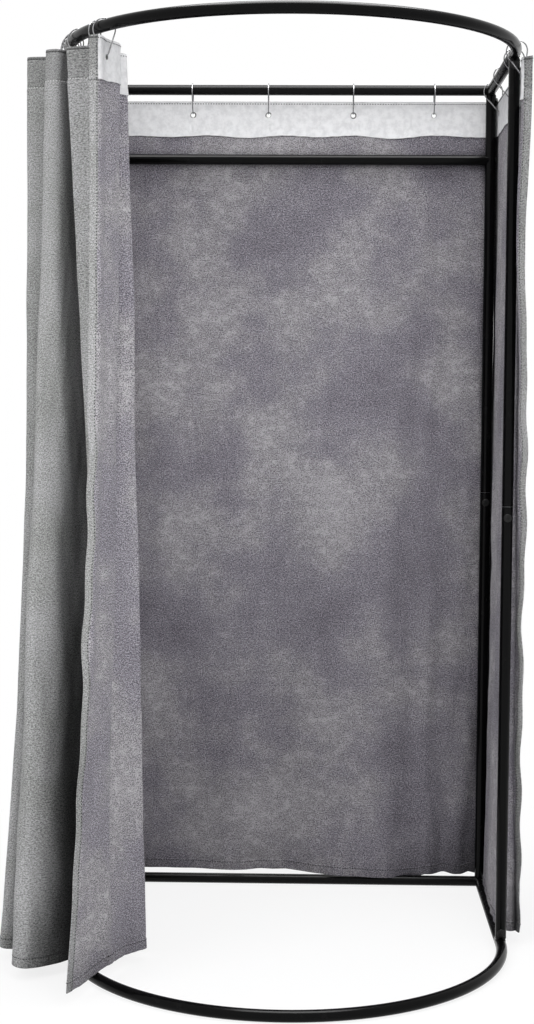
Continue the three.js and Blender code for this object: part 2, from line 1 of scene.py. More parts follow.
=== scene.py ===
"""Portable fitting room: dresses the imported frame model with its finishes, its cloth and its hardware.

Lengths are in millimetres until a mesh is made, in the frame of the part: +Z is up, the doorway
faces -Y, and the origin is on the floor under the middle of the rear base rail.
"""
import json
import logging
import math
from collections.abc import Callable, Sequence
from dataclasses import dataclass, field
from enum import Enum

import bpy
import numpy as np
from mathutils import Matrix, Vector


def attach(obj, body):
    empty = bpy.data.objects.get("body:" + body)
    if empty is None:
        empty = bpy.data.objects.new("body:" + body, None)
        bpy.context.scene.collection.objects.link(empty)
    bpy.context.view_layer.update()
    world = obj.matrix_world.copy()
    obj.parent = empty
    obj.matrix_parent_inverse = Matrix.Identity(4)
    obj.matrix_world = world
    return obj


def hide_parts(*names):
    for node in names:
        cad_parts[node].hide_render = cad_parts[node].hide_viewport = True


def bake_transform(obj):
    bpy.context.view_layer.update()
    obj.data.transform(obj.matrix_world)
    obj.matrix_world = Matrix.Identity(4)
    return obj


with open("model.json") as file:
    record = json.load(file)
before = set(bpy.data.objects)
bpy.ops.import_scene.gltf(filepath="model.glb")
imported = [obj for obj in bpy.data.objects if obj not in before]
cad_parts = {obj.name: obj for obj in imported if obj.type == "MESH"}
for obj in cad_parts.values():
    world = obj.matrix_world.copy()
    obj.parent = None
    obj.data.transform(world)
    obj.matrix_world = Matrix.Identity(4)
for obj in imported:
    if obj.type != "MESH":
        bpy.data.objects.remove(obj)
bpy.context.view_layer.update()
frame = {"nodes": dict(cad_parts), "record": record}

log = logging.getLogger("fitting_room")

Array = np.ndarray
Object = bpy.types.Object
Material = bpy.types.Material
Socket = bpy.types.NodeSocket
Rows = tuple[tuple[float, ...], ...]
Triple = tuple[float, float, float]
Inputs = dict[str | int, object]

MM = 0.001
UP = np.array([0.0, 0.0, 1.0])

# Sizes of the frame that the cloth, the hooks and the tubes share
RAIL_SPAN = 965.0
HALF_SPAN = RAIL_SPAN / 2
SIDE_LENGTH = 502.5
TOP_HEIGHT = 1987.5
BASE_HEIGHT = 12.5
CROSSBAR_HEIGHT = 1818.5
TUBE_RADIUS = 12.5
BORE_RADIUS = 11.5
FACE_GAP = 0.3
CLOTH_TOP = 1961.5
CLOTH_HEIGHT = 1935.0
CLOTH_THICKNESS = 1.6
STAND_OFF = 18.5
CORNER_TURN = STAND_OFF * math.pi / 4
LEFT_FRONT = 60.0
RIGHT_FRONT = 90.0
UPRIGHTS = {
    "rear_left": (-HALF_SPAN, 0.0), "rear_right": (HALF_SPAN, 0.0),
    "front_left": (-HALF_SPAN, -SIDE_LENGTH), "front_right": (HALF_SPAN, -SIDE_LENGTH),
}


class Reach(Enum):
    """What a lamp lights: matt surfaces, or gloss alone."""

    MATT = "matt"
    GLOSS = "gloss"


class Body(Enum):
    """Bodies that hold cloth: those of the gathered end from its leading edge on, and the short end's."""

    LEAD = "curtain_lead"
    SIXTH = "carrier_6"
    FIFTH = "carrier_5"
    FOURTH = "carrier_4"
    THIRD = "carrier_3"
    SECOND = "carrier_2"
    FRAME = "frame"
    SHORT_LEAD = "short_end_lead"


# Node trees


class Nodes:
    """Adds nodes to one tree and links them."""

    def __init__(self, tree: bpy.types.NodeTree) -> None:
        """Starts with the tree."""
        self.tree = tree

    def feed(self, socket: Socket, value: object) -> None:
        """Sets an input to a plain value, or links it to an output."""
        if isinstance(value, Socket):
            self.tree.links.new(value, socket)
        else:
            socket.default_value = value

    def node(self, kind: str, inputs: Inputs | None = None, **settings: object) -> bpy.types.Node:
        """Adds a node.

        Args:
            kind: Blender's name for the type of node.
            inputs: Values or outputs for its inputs, by name or number.
            **settings: Attributes of the node.

        Returns:
            The node.
        """
        made = self.tree.nodes.new(kind)
        for key, value in settings.items():
            setattr(made, key, value)
        for key, value in (inputs or {}).items():
            self.feed(made.inputs[key], value)
        return made

    def out(self, kind: str, inputs: Inputs | None = None, which: str | int = 0, **settings: object) -> Socket:
        """Adds a node as node() does, and returns one of its outputs."""
        return self.node(kind, inputs, **settings).outputs[which]

    def maths(self, operation: str, *values: object) -> Socket:
        """Adds a Math node with its values in their order."""
        return self.out("ShaderNodeMath", dict(enumerate(values)), operation=operation)

    def ramp(self, value: object, low: float, high: float, to_low: float = 0.0, to_high: float = 1.0) -> Socket:
        """Adds a smooth map from one range to another."""
        inputs = {"Value": value, "From Min": low, "From Max": high, "To Min": to_low, "To Max": to_high}
        return self.out("ShaderNodeMapRange", inputs, interpolation_type="SMOOTHSTEP")


class Shader(Nodes):
    """The nodes of one material that feed its Principled shader."""

    def __init__(self, name: str) -> None:
        """Starts a material of that name."""
        self.material = bpy.data.materials.new(name)
        self.material.use_nodes = True
        super().__init__(self.material.node_tree)
        self.principled = self.tree.nodes["Principled BSDF"]

    def place(self) -> Socket:
        """Adds the coordinates of the object."""
        return self.out("ShaderNodeTexCoord", which="Object")

    def cloth(self) -> Socket:
        """Adds the place on the flat cloth, in metres from its top edge."""
        return self.out("ShaderNodeUVMap", uv_map="cloth")

    def noise(self, at: Socket, scale: float | Triple, detail: float = 2.0, roughness: float = 0.5) -> Socket:
        """Adds a noise texture; three numbers as its scale stretch it."""
        if isinstance(scale, tuple):
            at, scale = self.out("ShaderNodeMapping", {"Vector": at, "Scale": scale}), 1.0
        inputs = {"Vector": at, "Scale": scale, "Detail": detail, "Roughness": roughness}
        return self.out("ShaderNodeTexNoise", inputs)

    def mix(self, factor: Socket, first: Socket | Triple, second: Triple, **settings: object) -> Socket:
        """Adds a mix of two colours."""
        a, b = ((*colour, 1.0) if isinstance(colour, tuple) else colour for colour in (first, second))
        return self.out("ShaderNodeMix", {0: factor, 6: a, 7: b}, 2, data_type="RGBA", **settings)

    def set(self, **values: object) -> None:
        """Feeds the shader's own inputs; an underscore in a name stands for a space."""
        for key, value in values.items():
            self.feed(self.principled.inputs[key.replace("_", " ")], value)

    def bump(self, height: Socket, strength: float, distance: float) -> None:
        """Feeds a bump from a height to the shader's normal."""
        self.set(Normal=self.out("ShaderNodeBump", {"Height": height, "Strength": strength, "Distance": distance}))


# Materials


# Grains of the noise textures: scale, detail and roughness
PEBBLES = (1500.0,)
SCUFFS = (34.0, 6.0, 0.62)
DULL_SPOTS = (90.0, 4.0, 0.6)
TARNISH = (140.0, 5.0, 0.6)
DRAWN_LINES = ((2600.0, 2600.0, 500.0), 3.0)
CLOUDS = (3.6, 5.0, 0.62)
SPECKS = ((360.0, 330.0, 1.0), 3.0, 0.85)
STROKES = ((150.0, 420.0, 1.0), 3.0, 0.6)
FIBRES = ((1100.0, 1100.0, 1.0), 2.0, 0.7)
FLECKS = ((32.0, 42.0, 1.0), 9.0, 0.82)
BOND_CLOUDS = (60.0, 6.0, 0.65)
BONDED_FIBRES = ((700.0, 700.0, 1.0), 3.0, 0.65)
PLIES = (2400.0,)
LOW_CLOTH = -1.9  # near the hem, in metres down the cloth's map


@dataclass(frozen=True)
class Finish:
    """A finish, which has a material of its own name."""

    name: str

    def paint(self, s: Shader) -> None:
        """Feeds the material's shader."""
        raise NotImplementedError

    def material(self) -> Material:
        """Builds the material."""
        shader = Shader(self.name)
        self.paint(shader)
        return shader.material


@dataclass(frozen=True)
class PowderCoat(Finish):
    """Black powder coat on steel tube, with its fine pebbled skin and a few dull scuffs."""

    roughness: float
    colour: Triple = (0.0016, 0.0016, 0.0017)
    scuffed: Triple = (0.0042, 0.0042, 0.0044)
    gloss: float = 0.09
    scuff_span: tuple[float, float] = (0.60, 0.74)
    pebble_bump: tuple[float, float] = (0.06, 0.0001)

    def paint(self, s: Shader) -> None:
        """Feeds the material's shader."""
        place = s.place()
        scuffs = s.ramp(s.noise(place, *SCUFFS), *self.scuff_span)
        dull = s.ramp(s.noise(place, *DULL_SPOTS), 0.25, 0.75, self.roughness - 0.04, self.roughness + 0.06)
        s.set(Base_Color=s.mix(scuffs, self.colour, self.scuffed), Roughness=dull, Specular_IOR_Level=self.gloss)
        s.bump(s.noise(place, *PEBBLES), *self.pebble_bump)


@dataclass(frozen=True)
class BareMetal(Finish):
    """Plated or bare metal with drawn lines and slight tarnish."""

    bright: Triple
    tarnished: Triple
    roughness: float
    tarnish_span: tuple[float, float] = (0.45, 0.75)
    drawn_bump: tuple[float, float] = (0.15, 0.0001)

    def paint(self, s: Shader) -> None:
        """Feeds the material's shader."""
        place = s.place()
        tarnish = s.ramp(s.noise(place, *TARNISH), *self.tarnish_span)
        drawn = s.noise(place, *DRAWN_LINES)
        dull = s.ramp(drawn, 0.2, 0.8, self.roughness - 0.06, self.roughness + 0.10)
        s.set(Base_Color=s.mix(tarnish, self.bright, self.tarnished), Metallic=1.0, Roughness=dull)
        s.bump(drawn, *self.drawn_bump)


@dataclass(frozen=True)
class Suede(Finish):
    """Brushed cloth: a short speckled nap with soft clouds and a faint second tint, darker above the band seam, with
    a painted shadow line along the top hem and painted shade in its creases.
    """

    light: Triple
    dark: Triple
    tint: Triple
    speck: float
    cloud: float
    fleck: float = 0.0
    # The colour is darker above the band seam by the heading factor, and a painted shadow line of the top_shade
    # darkness runs along the top hem.
    heading: float = 1.0
    heading_depth: float = 0.065
    top_hem: float = 0.0045
    top_shade: float = 0.45
    # Painted shade in the creases: the reach of the occlusion at the top and near the hem, how dark it gets, and the
    # span over which it sets in.
    crease_reach: float = 0.05
    crease_reach_low: float = 0.22
    crease_shade: float = 0.10
    crease_span: tuple[float, float] = (0.14, 0.78)
    hem_shadow_span: tuple[float, float] = (0.0008, 0.0026)
    fibre_share: float = 0.45
    stroke_share: float = 0.3
    fleck_span: tuple[float, float] = (0.47, 0.63)
    brushed_span: tuple[float, float] = (0.44, 0.6)
    brushed_mean: float = 0.25
    tint_span: tuple[float, float] = (0.58, 0.42)
    dull_span: tuple[float, ...] = (0.3, 0.7, 0.96, 0.86)
    sheen: float = 0.08
    sheen_roughness: float = 0.45
    gloss: float = 0.06
    nap_bump: tuple[float, float] = (0.4, 0.0008)

    def paint(self, s: Shader) -> None:
        """Feeds the material's shader."""
        cloth = s.cloth()
        clouds, specks, strokes, fibres = (s.noise(cloth, *grain) for grain in (CLOUDS, SPECKS, STROKES, FIBRES))
        flecks = s.ramp(s.noise(cloth, *FLECKS), *self.fleck_span)
        brushed = s.maths("MULTIPLY", flecks, s.ramp(clouds, *self.brushed_span, 0.25, 1.0))
        tone: Socket | float = 0.5
        for grain, middle, share in (
            (clouds, 0.5, self.cloud), (specks, 0.5, self.speck), (fibres, 0.5, self.speck * self.fibre_share),
            (strokes, 0.5, self.speck * self.stroke_share), (brushed, self.brushed_mean, self.fleck),
        ):
            tone = s.maths("MULTIPLY_ADD", s.maths("SUBTRACT", grain, middle), share, tone)
        tint = s.ramp(clouds, *self.tint_span)
        tinted = s.mix(tint, s.mix(tone, self.dark, self.light), self.tint, blend_type="MULTIPLY")
        down = s.out("ShaderNodeSeparateXYZ", {0: cloth}, "Y")
        # Darker above the band seam, times a painted shadow line along the top hem's seam.
        lined = s.ramp(down, -self.heading_depth - 0.001, -self.heading_depth + 0.001, 1.0, self.heading)
        from_hem = s.maths("ABSOLUTE", s.maths("ADD", down, self.top_hem))
        lined = s.maths("MULTIPLY", lined, s.ramp(from_hem, *self.hem_shadow_span, self.top_shade, 1.0))
        # Painted shade: the colour is darkened where ambient occlusion finds the cloth closed in, in the creases
        # between folds and in the walls' corners; the reach grows towards the hem, so lower creases come out darker.
        reach = s.ramp(down, 0.0, LOW_CLOTH, self.crease_reach, self.crease_reach_low)
        open_sky = s.out("ShaderNodeAmbientOcclusion", {"Distance": reach}, "AO", samples=8)
        shade = s.maths("MULTIPLY", s.ramp(open_sky, *self.crease_span, self.crease_shade, 1.0), lined)
        shaded = s.out("ShaderNodeVectorMath", {0: tinted, "Scale": shade}, operation="SCALE")
        s.set(Base_Color=shaded, Roughness=s.ramp(specks, *self.dull_span))
        s.set(Sheen_Weight=self.sheen, Sheen_Roughness=self.sheen_roughness, Specular_IOR_Level=self.gloss)
        s.bump(s.maths("MULTIPLY_ADD", strokes, 0.6, fibres), *self.nap_bump)


@dataclass(frozen=True)
class HeadingTape(Finish):
    """Stiff light band of bonded fibre behind the heading."""

    light: Triple
    dark: Triple
    gloss: float = 0.1
    cloud_span: tuple[float, float] = (0.35, 0.62)
    dull_span: tuple[float, ...] = (0.2, 0.8, 0.72, 0.92)
    fibre_bump: tuple[float, float] = (0.35, 0.0006)

    def paint(self, s: Shader) -> None:
        """Feeds the material's shader."""
        cloth = s.cloth()
        cloudy = s.ramp(s.noise(cloth, *BOND_CLOUDS), *self.cloud_span)
        bonded = s.noise(cloth, *BONDED_FIBRES)
        both = s.maths("ADD", cloudy, bonded)
        s.set(Base_Color=s.mix(s.maths("MULTIPLY", both, 0.6), self.dark, self.light))
        s.set(Roughness=s.ramp(bonded, *self.dull_span), Specular_IOR_Level=self.gloss)
        s.bump(both, *self.fibre_bump)


@dataclass(frozen=True)
class Thread(Finish):
    """Twisted sewing thread."""

    colour: Triple
    shade: Triple
    dull_span: tuple[float, ...] = (0.2, 0.8, 0.6, 0.8)
    ply_bump: tuple[float, float] = (0.5, 0.0002)

    def paint(self, s: Shader) -> None:
        """Feeds the material's shader."""
        plies = s.noise(s.place(), *PLIES)
        s.set(Base_Color=s.mix(plies, self.shade, self.colour), Roughness=s.ramp(plies, *self.dull_span))
        s.bump(plies, *self.ply_bump)


def built(finish: Finish) -> Material:
    """A dataclass field that holds the material of a finish."""
    return field(default_factory=finish.material)


@dataclass
class Finishes:
    """Every finish of the fitting room, built once."""

    gloss: Material = built(PowderCoat("powder_coat_gloss", 0.16))
    satin: Material = built(PowderCoat("powder_coat_satin", 0.24, (0.003, 0.003, 0.0031)))
    blackened: Material = built(PowderCoat("bolt_black", 0.22, (0.014, 0.014, 0.014), (0.05, 0.05, 0.05)))
    zinc: Material = built(BareMetal("zinc_plate", (0.62, 0.63, 0.65), (0.45, 0.46, 0.47), 0.34))
    wire: Material = built(BareMetal("hook_wire", (0.40, 0.40, 0.41), (0.20, 0.20, 0.205), 0.20))
    eyelet: Material = built(BareMetal("eyelet_nickel", (0.13, 0.13, 0.13), (0.06, 0.06, 0.06), 0.30))
    outside: Material = built(Suede(
        "cloth_outside", (0.44, 0.44, 0.442), (0.094, 0.094, 0.095), (0.99, 1.0, 0.975), 3.8, 1.0, heading=0.84))
    inside: Material = built(Suede(
        "cloth_inside", (0.42, 0.406, 0.424), (0.080, 0.074, 0.084), (0.95, 0.94, 1.0), 5.0, 1.25, 0.48))
    # Painted light: a lighter copy of the inside cloth, with stronger speckle, for the inside of the gathered end.
    turned: Material = built(Suede(
        "cloth_turned", (0.52, 0.505, 0.522), (0.105, 0.098, 0.11), (0.95, 0.94, 1.0), 8.5, 1.2, 0.7))
    band: Material = built(HeadingTape("heading_band", (0.76, 0.76, 0.77), (0.58, 0.58, 0.592)))
    thread: Material = built(Thread("seam_thread", (0.022, 0.022, 0.024), (0.008, 0.008, 0.009)))
    pale_thread: Material = built(Thread("heading_thread", (0.62, 0.62, 0.62), (0.42, 0.42, 0.42)))


# Meshes


def in_scene(name: str, data: bpy.types.ID | None) -> Object:
    """Makes an object at the origin of the scene."""
    made = bpy.data.objects.new(name, data)
    bpy.context.scene.collection.objects.link(made)
    return made


def add_mesh(name: str, points: Array, edges: Sequence[Sequence[int]], faces: Sequence[Sequence[int]],
             materials: Sequence[Material]) -> Object:
    """Makes a mesh object.

    Args:
        name: Its name.
        points: Its vertices in millimetres.
        edges: Its loose edges, as vertex numbers.
        faces: Its faces, as vertex numbers.
        materials: Its material slots.

    Returns:
        The object, at the origin.
    """
    mesh = bpy.data.meshes.new(name)
    mesh.from_pydata((points * MM).tolist(), edges, faces)
    for material in materials:
        mesh.materials.append(material)
    return in_scene(name, mesh)


def unit(vector: Array) -> Array:
    """Vectors of length 1."""
    return vector / np.maximum(np.linalg.norm(vector, axis=-1, keepdims=True), 1e-12)


def circle(centre: Array, side: Array, up: Array, radius: float, sides: int) -> Array:
    """Points round a centre, of which the first lies towards the side vector."""
    angle = 2 * math.pi * np.arange(sides)[:, None] / sides
    return centre + radius * (side * np.cos(angle) + up * np.sin(angle))


class Shells:
    """Closed shells of one piece, each lofted through rings of points."""

    def __init__(self) -> None:
        """Starts with nothing."""
        self.points: list[Array] = []
        self.faces: list[list[int]] = []

    def add(self, rings: Sequence[Array], ends_meet: bool = True) -> None:
        """Adds a shell.

        Args:
            rings: Its rings in their order, with as many points each.
            ends_meet: True where the last ring joins the first one, and False where both are capped.
        """
        sides, points = len(rings[0]), np.concatenate(rings)
        faces = []
        for i in range(len(rings) if ends_meet else len(rings) - 1):
            here, after = i * sides, (i + 1) % len(rings) * sides
            for j in range(sides):
                k = (j + 1) % sides
                faces.append([here + j, here + k, after + k, after + j])
        if not ends_meet:
            faces += [list(range(sides))[::-1], list(range(len(points) - sides, len(points)))]
        corners = np.array([(face[0], a, b) for face in faces for a, b in zip(face[1:], face[2:])])
        first, second, third = points[corners.T]
        faces_out = np.sum(first * np.cross(second, third)) > 0
        count = sum(len(shell) for shell in self.points)
        self.points.append(points)
        self.faces += [[count + i for i in (face if faces_out else face[::-1])] for face in faces]

    def piece(self, name: str, material: Material, angle: float) -> Object:
        """Makes the object, smooth where its faces meet below an angle in degrees."""
        made = add_mesh(name, np.concatenate(self.points), [], self.faces, [material])
        made.data.shade_smooth()
        made.data.set_sharp_from_angle(angle=math.radians(angle))
        return made


# Tube frame


@dataclass
class TubeFrame:
    """The bolted frame: bends, rails, uprights, crossbar and welds."""

    finishes: Finishes
    sides: int = 32
    lip: float = 0.45
    joint_setback: float = 30.0
    middle: float = 1000.0
    stub_radius: float = 11.2
    stub_bore: float = 9.7
    stub_length: float = 55.0
    sleeve: tuple[float, float] = (-4.0, 45.0)
    arc_steps: int = 96
    stub_root: float = 0.8
    seam_steps: int = 72
    saddle_steps: int = 64
    bead_sink: float = 0.35
    bead_radius: float = 1.0
    bead_low: float = 0.82
    bead_pitch: float = 1.6
    bead_sides: int = 8
    bevel: float = 0.5
    seat_depth: float = 40.0
    smooth_below: float = 32.0

    def build(self) -> None:
        """Builds every piece of the frame and dresses the couplers."""
        for shape in (self.rear_frame, self.front_arc):
            shape("base", BASE_HEIGHT, 1)
            shape("top", TOP_HEIGHT, -1)
        clear = TUBE_RADIUS + FACE_GAP
        for name, (x, y) in UPRIGHTS.items():
            for part, low, high in (("lower", BASE_HEIGHT + clear, self.middle - FACE_GAP / 2),
                                    ("upper", self.middle + FACE_GAP / 2, TOP_HEIGHT - clear)):
                shells = Shells()
                self.straight(shells, np.array([x, y, low]), np.array([x, y, high]), TUBE_RADIUS, BORE_RADIUS)
                self.finish(shells, f"upright_{name}_{part}", self.finishes.gloss)
            coupler = frame["nodes"][f"coupler_{name}"]
            coupler.data.materials.clear()
            coupler.data.materials.append(self.finishes.zinc)
            log.info("coupler_%s keeps its solid in zinc plate", name)
        self.crossbar()

    def tube(self, shells: Shells, path: Sequence[tuple[Array, Array]], up: Array, outer: float,
             inner: float) -> None:
        """Adds a tube with a bore and rounded ends.

        Args:
            shells: Where the tube goes.
            path: Centres and side vectors of its sections; a side vector is longer than 1 on a mitre.
            up: Vector square to the path in every section.
            outer: Outer radius.
            inner: Radius of the bore.
        """
        (first, first_side), (last, last_side) = path[0], path[-1]
        start, end = unit(path[1][0] - first), unit(last - path[-2][0])
        lip = self.lip
        mouth = ((lip, inner), (0, inner + lip / 2), (0, outer - lip), (lip * 0.3, outer - lip * 0.3), (lip, outer))
        rings = [(first + start * inset, first_side, radius) for inset, radius in mouth]
        rings += [(centre, side, outer) for centre, side in path[1:-1]]
        rings += [(last - end * inset, last_side, radius) for inset, radius in mouth[::-1]]
        rings += [(centre, side, inner) for centre, side in path[-2:0:-1]]
        shells.add([circle(centre, side, up, radius, self.sides) for centre, side, radius in rings])

    def straight(self, shells: Shells, start: Array, end: Array, outer: float, inner: float) -> None:
        """Adds a straight tube between two points."""
        direction = unit(end - start)
        side = unit(np.cross(direction, (0.0, 1.0, 0.0) if abs(direction[1]) < 0.5 else UP))
        self.tube(shells, [(start, side), (end, side)], np.cross(direction, side), outer, inner)

    def beads(self, shells: Shells, path: Array) -> None:
        """Adds a closed weld bead along a path, with the ripple of its pools."""
        steps = np.linalg.norm(np.roll(path, -1, 0) - path, axis=1)
        count = max(int(steps.sum() / self.bead_pitch), 8)
        place = np.concatenate([[0], np.cumsum(steps)])
        closed = np.vstack([path, path[:1]])
        spots = np.linspace(0, place[-1], count, endpoint=False)
        centres = np.stack([np.interp(spots, place, closed[:, i]) for i in range(3)], 1)
        forward = unit(np.roll(centres, -1, 0) - np.roll(centres, 1, 0))
        out = unit(centres - centres.mean(0))
        out = unit(out - forward * (out * forward).sum(1, keepdims=True))
        across = np.cross(forward, out)
        radii = [self.bead_radius * (1.0 if i % 2 else self.bead_low) for i in range(count)]
        shells.add([circle(*ring, self.bead_sides) for ring in zip(centres, out, across, radii)])

    def stub(self, shells: Shells, place: tuple[float, float, float], way: int, turn: float) -> None:
        """Adds the short tube on a rail that an upright slides over, and its weld.

        Args:
            shells: Where they go.
            place: Point on the rail's centreline.
            way: 1 where it stands up, and -1 where it hangs.
            turn: The rail's direction in plan.
        """
        x, y, height = place
        root = np.array([x, y, height + way * TUBE_RADIUS * self.stub_root])
        tip = np.array([x, y, height + way * (TUBE_RADIUS + self.stub_length)])
        self.straight(shells, root, tip, self.stub_radius, self.stub_bore)
        angle = np.linspace(0, 2 * math.pi, self.saddle_steps, endpoint=False)
        across = self.stub_radius * np.sin(angle - turn)
        lift = np.sqrt(np.maximum(TUBE_RADIUS ** 2 - across ** 2, 0))
        round_x, round_y = self.stub_radius * np.cos(angle), self.stub_radius * np.sin(angle)
        self.beads(shells, np.stack([x + round_x, y + round_y, height + way * lift], 1))

    def rear_frame(self, part: str, height: float, way: int) -> None:
        """Builds the rear half of a loop: three tubes mitred at the corners, with their stubs and welds."""
        front = self.joint_setback - SIDE_LENGTH
        corners = ((-1.0, front, 0.0), (-1.0, 0.0, 1.0), (1.0, 0.0, 1.0), (1.0, front, 0.0))
        path = [(np.array([x * HALF_SPAN, y, height]), np.array([x, back, 0.0])) for x, y, back in corners]
        shells = Shells()
        self.tube(shells, path, UP, TUBE_RADIUS, BORE_RADIUS)
        for centre, side in path[1:3]:
            self.beads(shells, circle(centre, side, UP, TUBE_RADIUS - self.bead_sink, self.seam_steps))
            self.stub(shells, tuple(centre), way, 0.0)
        self.finish(shells, f"{part}_rear_frame", self.finishes.satin)

    def front_arc(self, part: str, height: float, way: int) -> None:
        """Builds the front half of a loop: a semicircle with straight tails, its stubs and their welds."""
        tail = self.joint_setback - SIDE_LENGTH - FACE_GAP
        path = [(np.array([-HALF_SPAN, tail, height]), np.array([-1.0, 0, 0]))]
        for angle in np.linspace(math.pi, 2 * math.pi, self.arc_steps + 1):
            side = np.array([math.cos(angle), math.sin(angle), 0.0])
            path.append((HALF_SPAN * side + np.array([0, -SIDE_LENGTH, height]), side))
        path.append((np.array([HALF_SPAN, tail, height]), np.array([1.0, 0, 0])))
        shells = Shells()
        self.tube(shells, path, UP, TUBE_RADIUS, BORE_RADIUS)
        for x in (-HALF_SPAN, HALF_SPAN):
            self.stub(shells, (x, -SIDE_LENGTH, height), way, math.pi / 2)
            sleeve = [np.array([x, tail + reach, height]) for reach in self.sleeve]
            self.straight(shells, *sleeve, self.stub_radius, self.stub_bore)
        self.finish(shells, f"{part}_front_arc", self.finishes.gloss)

    def crossbar(self) -> None:
        """Builds the rail between the rear uprights, with ends cut to sit on their round tubes."""
        angle = 2 * math.pi * np.arange(self.sides) / self.sides
        out, up = TUBE_RADIUS * np.cos(angle), TUBE_RADIUS * np.sin(angle)
        reach = HALF_SPAN - np.sqrt((TUBE_RADIUS + FACE_GAP) ** 2 - out ** 2)
        cuts = ((0, self.bevel), (self.bevel, 0), (self.seat_depth, 0))
        rings = []
        for end, inset, thin in (*((-1, *cut) for cut in cuts), *((1, *cut) for cut in cuts[::-1])):
            scale = (TUBE_RADIUS - thin) / TUBE_RADIUS
            x = np.full_like(reach, HALF_SPAN - inset) if inset > self.bevel else reach - inset
            rings.append(np.stack([end * x, out * scale, CROSSBAR_HEIGHT + up * scale], 1))
        shells = Shells()
        shells.add(rings, False)
        self.finish(shells, "crossbar", self.finishes.gloss)

    def finish(self, shells: Shells, node: str, material: Material) -> None:
        """Makes a tube piece that stands for a CAD node, with its welds ground flush where it stands."""
        for points in shells.points:
            points[:, 2] = np.maximum(points[:, 2], 0.0)
        piece = shells.piece(f"{node}_tube", material, self.smooth_below)
        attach(piece, Body.FRAME.value)
        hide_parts(node)
        log.info("%s stands for %s", piece.name, node)


# Node trees for what repeats


class Recipe(Nodes):
    """A Geometry Nodes tree with named inputs, run on one object and turned into a plain mesh."""

    KINDS = {Material: "Material", Object: "Object", int: "Int", float: "Float"}

    def __init__(self, name: str, inputs: dict[str, object]) -> None:
        """Starts a tree with a geometry input and one input for each named value.

        Args:
            name: Name of the tree.
            inputs: Names and values; a number, a whole number, an object or a material.
        """
        super().__init__(bpy.data.node_groups.new(name, "GeometryNodeTree"))
        self.values = inputs
        self.tree.interface.new_socket("Geometry", in_out="INPUT", socket_type="NodeSocketGeometry")
        self.sockets: dict[str, str] = {}
        for key, value in inputs.items():
            kind = next(word for sort, word in self.KINDS.items() if isinstance(value, sort))
            socket = self.tree.interface.new_socket(key, in_out="INPUT", socket_type=f"NodeSocket{kind}")
            self.sockets[key] = socket.identifier
        self.tree.interface.new_socket("Geometry", in_out="OUTPUT", socket_type="NodeSocketGeometry")
        self.source = self.tree.nodes.new("NodeGroupInput")

    def feed(self, socket: Socket, value: object) -> None:
        """Sets or links an input; a string may name an input of the tree."""
        named = isinstance(value, str) and value in self.source.outputs
        super().feed(socket, self.source.outputs[value] if named else value)

    def stand(self, instance: Socket) -> Socket:
        """Adds an instance at each point, turned along the point's axis."""
        axis = self.out("GeometryNodeInputNamedAttribute", {"Name": "axis"}, data_type="FLOAT_VECTOR")
        turned = self.out("FunctionNodeAlignRotationToVector", {"Vector": axis}, axis="Z")
        points = self.out("GeometryNodeMeshToPoints", {"Mesh": "Geometry"})
        return self.out("GeometryNodeInstanceOnPoints", {"Points": points, "Instance": instance, "Rotation": turned})

    def close(self, geometry: Socket, material: str, smooth: bool = True) -> "Recipe":
        """Ends the tree, and returns this recipe.

        Args:
            geometry: What was made, of which the instances are realised.
            material: Input with the material to set.
            smooth: True to shade it smooth.
        """
        made = self.out("GeometryNodeRealizeInstances", {"Geometry": geometry})
        if smooth:
            made = self.out("GeometryNodeSetShadeSmooth", {"Geometry": made})
        made = self.out("GeometryNodeSetMaterial", {"Geometry": made, "Material": material})
        self.node("NodeGroupOutput", {0: made})
        return self

    def run(self, carrier: Object, name: str) -> Object:
        """Runs the tree on an object and returns a plain mesh object in its place.

        Args:
            carrier: Object whose geometry goes into the tree; it is removed.
            name: Name of the result.

        Returns:
            The new object, at the origin.
        """
        modifier = carrier.modifiers.new("recipe", "NODES")
        modifier.node_group = self.tree
        for key, value in self.values.items():
            modifier[self.sockets[key]] = value
        bpy.context.view_layer.update()
        mesh = bpy.data.meshes.new_from_object(carrier.evaluated_get(bpy.context.evaluated_depsgraph_get()))
        carrier.modifiers.remove(modifier)
        old = carrier.data
        bpy.data.objects.remove(carrier)
        bpy.data.meshes.remove(old)
        mesh.name = name
        return in_scene(name, mesh)


def guide(lines: Sequence[Array], axes: Sequence[Array] | None = None, closed: bool = False) -> Object:
    """Makes a mesh of edges, or of loose points, for a tree to follow.

    Args:
        lines: Points in millimetres, one array for each line.
        axes: A direction for each point, kept as its axis.
        closed: True where each line's last point joins its first.

    Returns:
        The object.
    """
    edges, start = [], 0
    for line in lines:
        count = len(line)
        edges += [(start + i, start + i + 1) for i in range(count - 1)]
        if closed:
            edges.append((start + count - 1, start))
        start += count
    made = add_mesh("guide", np.concatenate(lines), edges, [], [])
    if axes is not None:
        attribute = made.data.attributes.new("axis", "FLOAT_VECTOR", "POINT")
        attribute.data.foreach_set("vector", np.asarray(axes, np.float32).ravel())
    return made


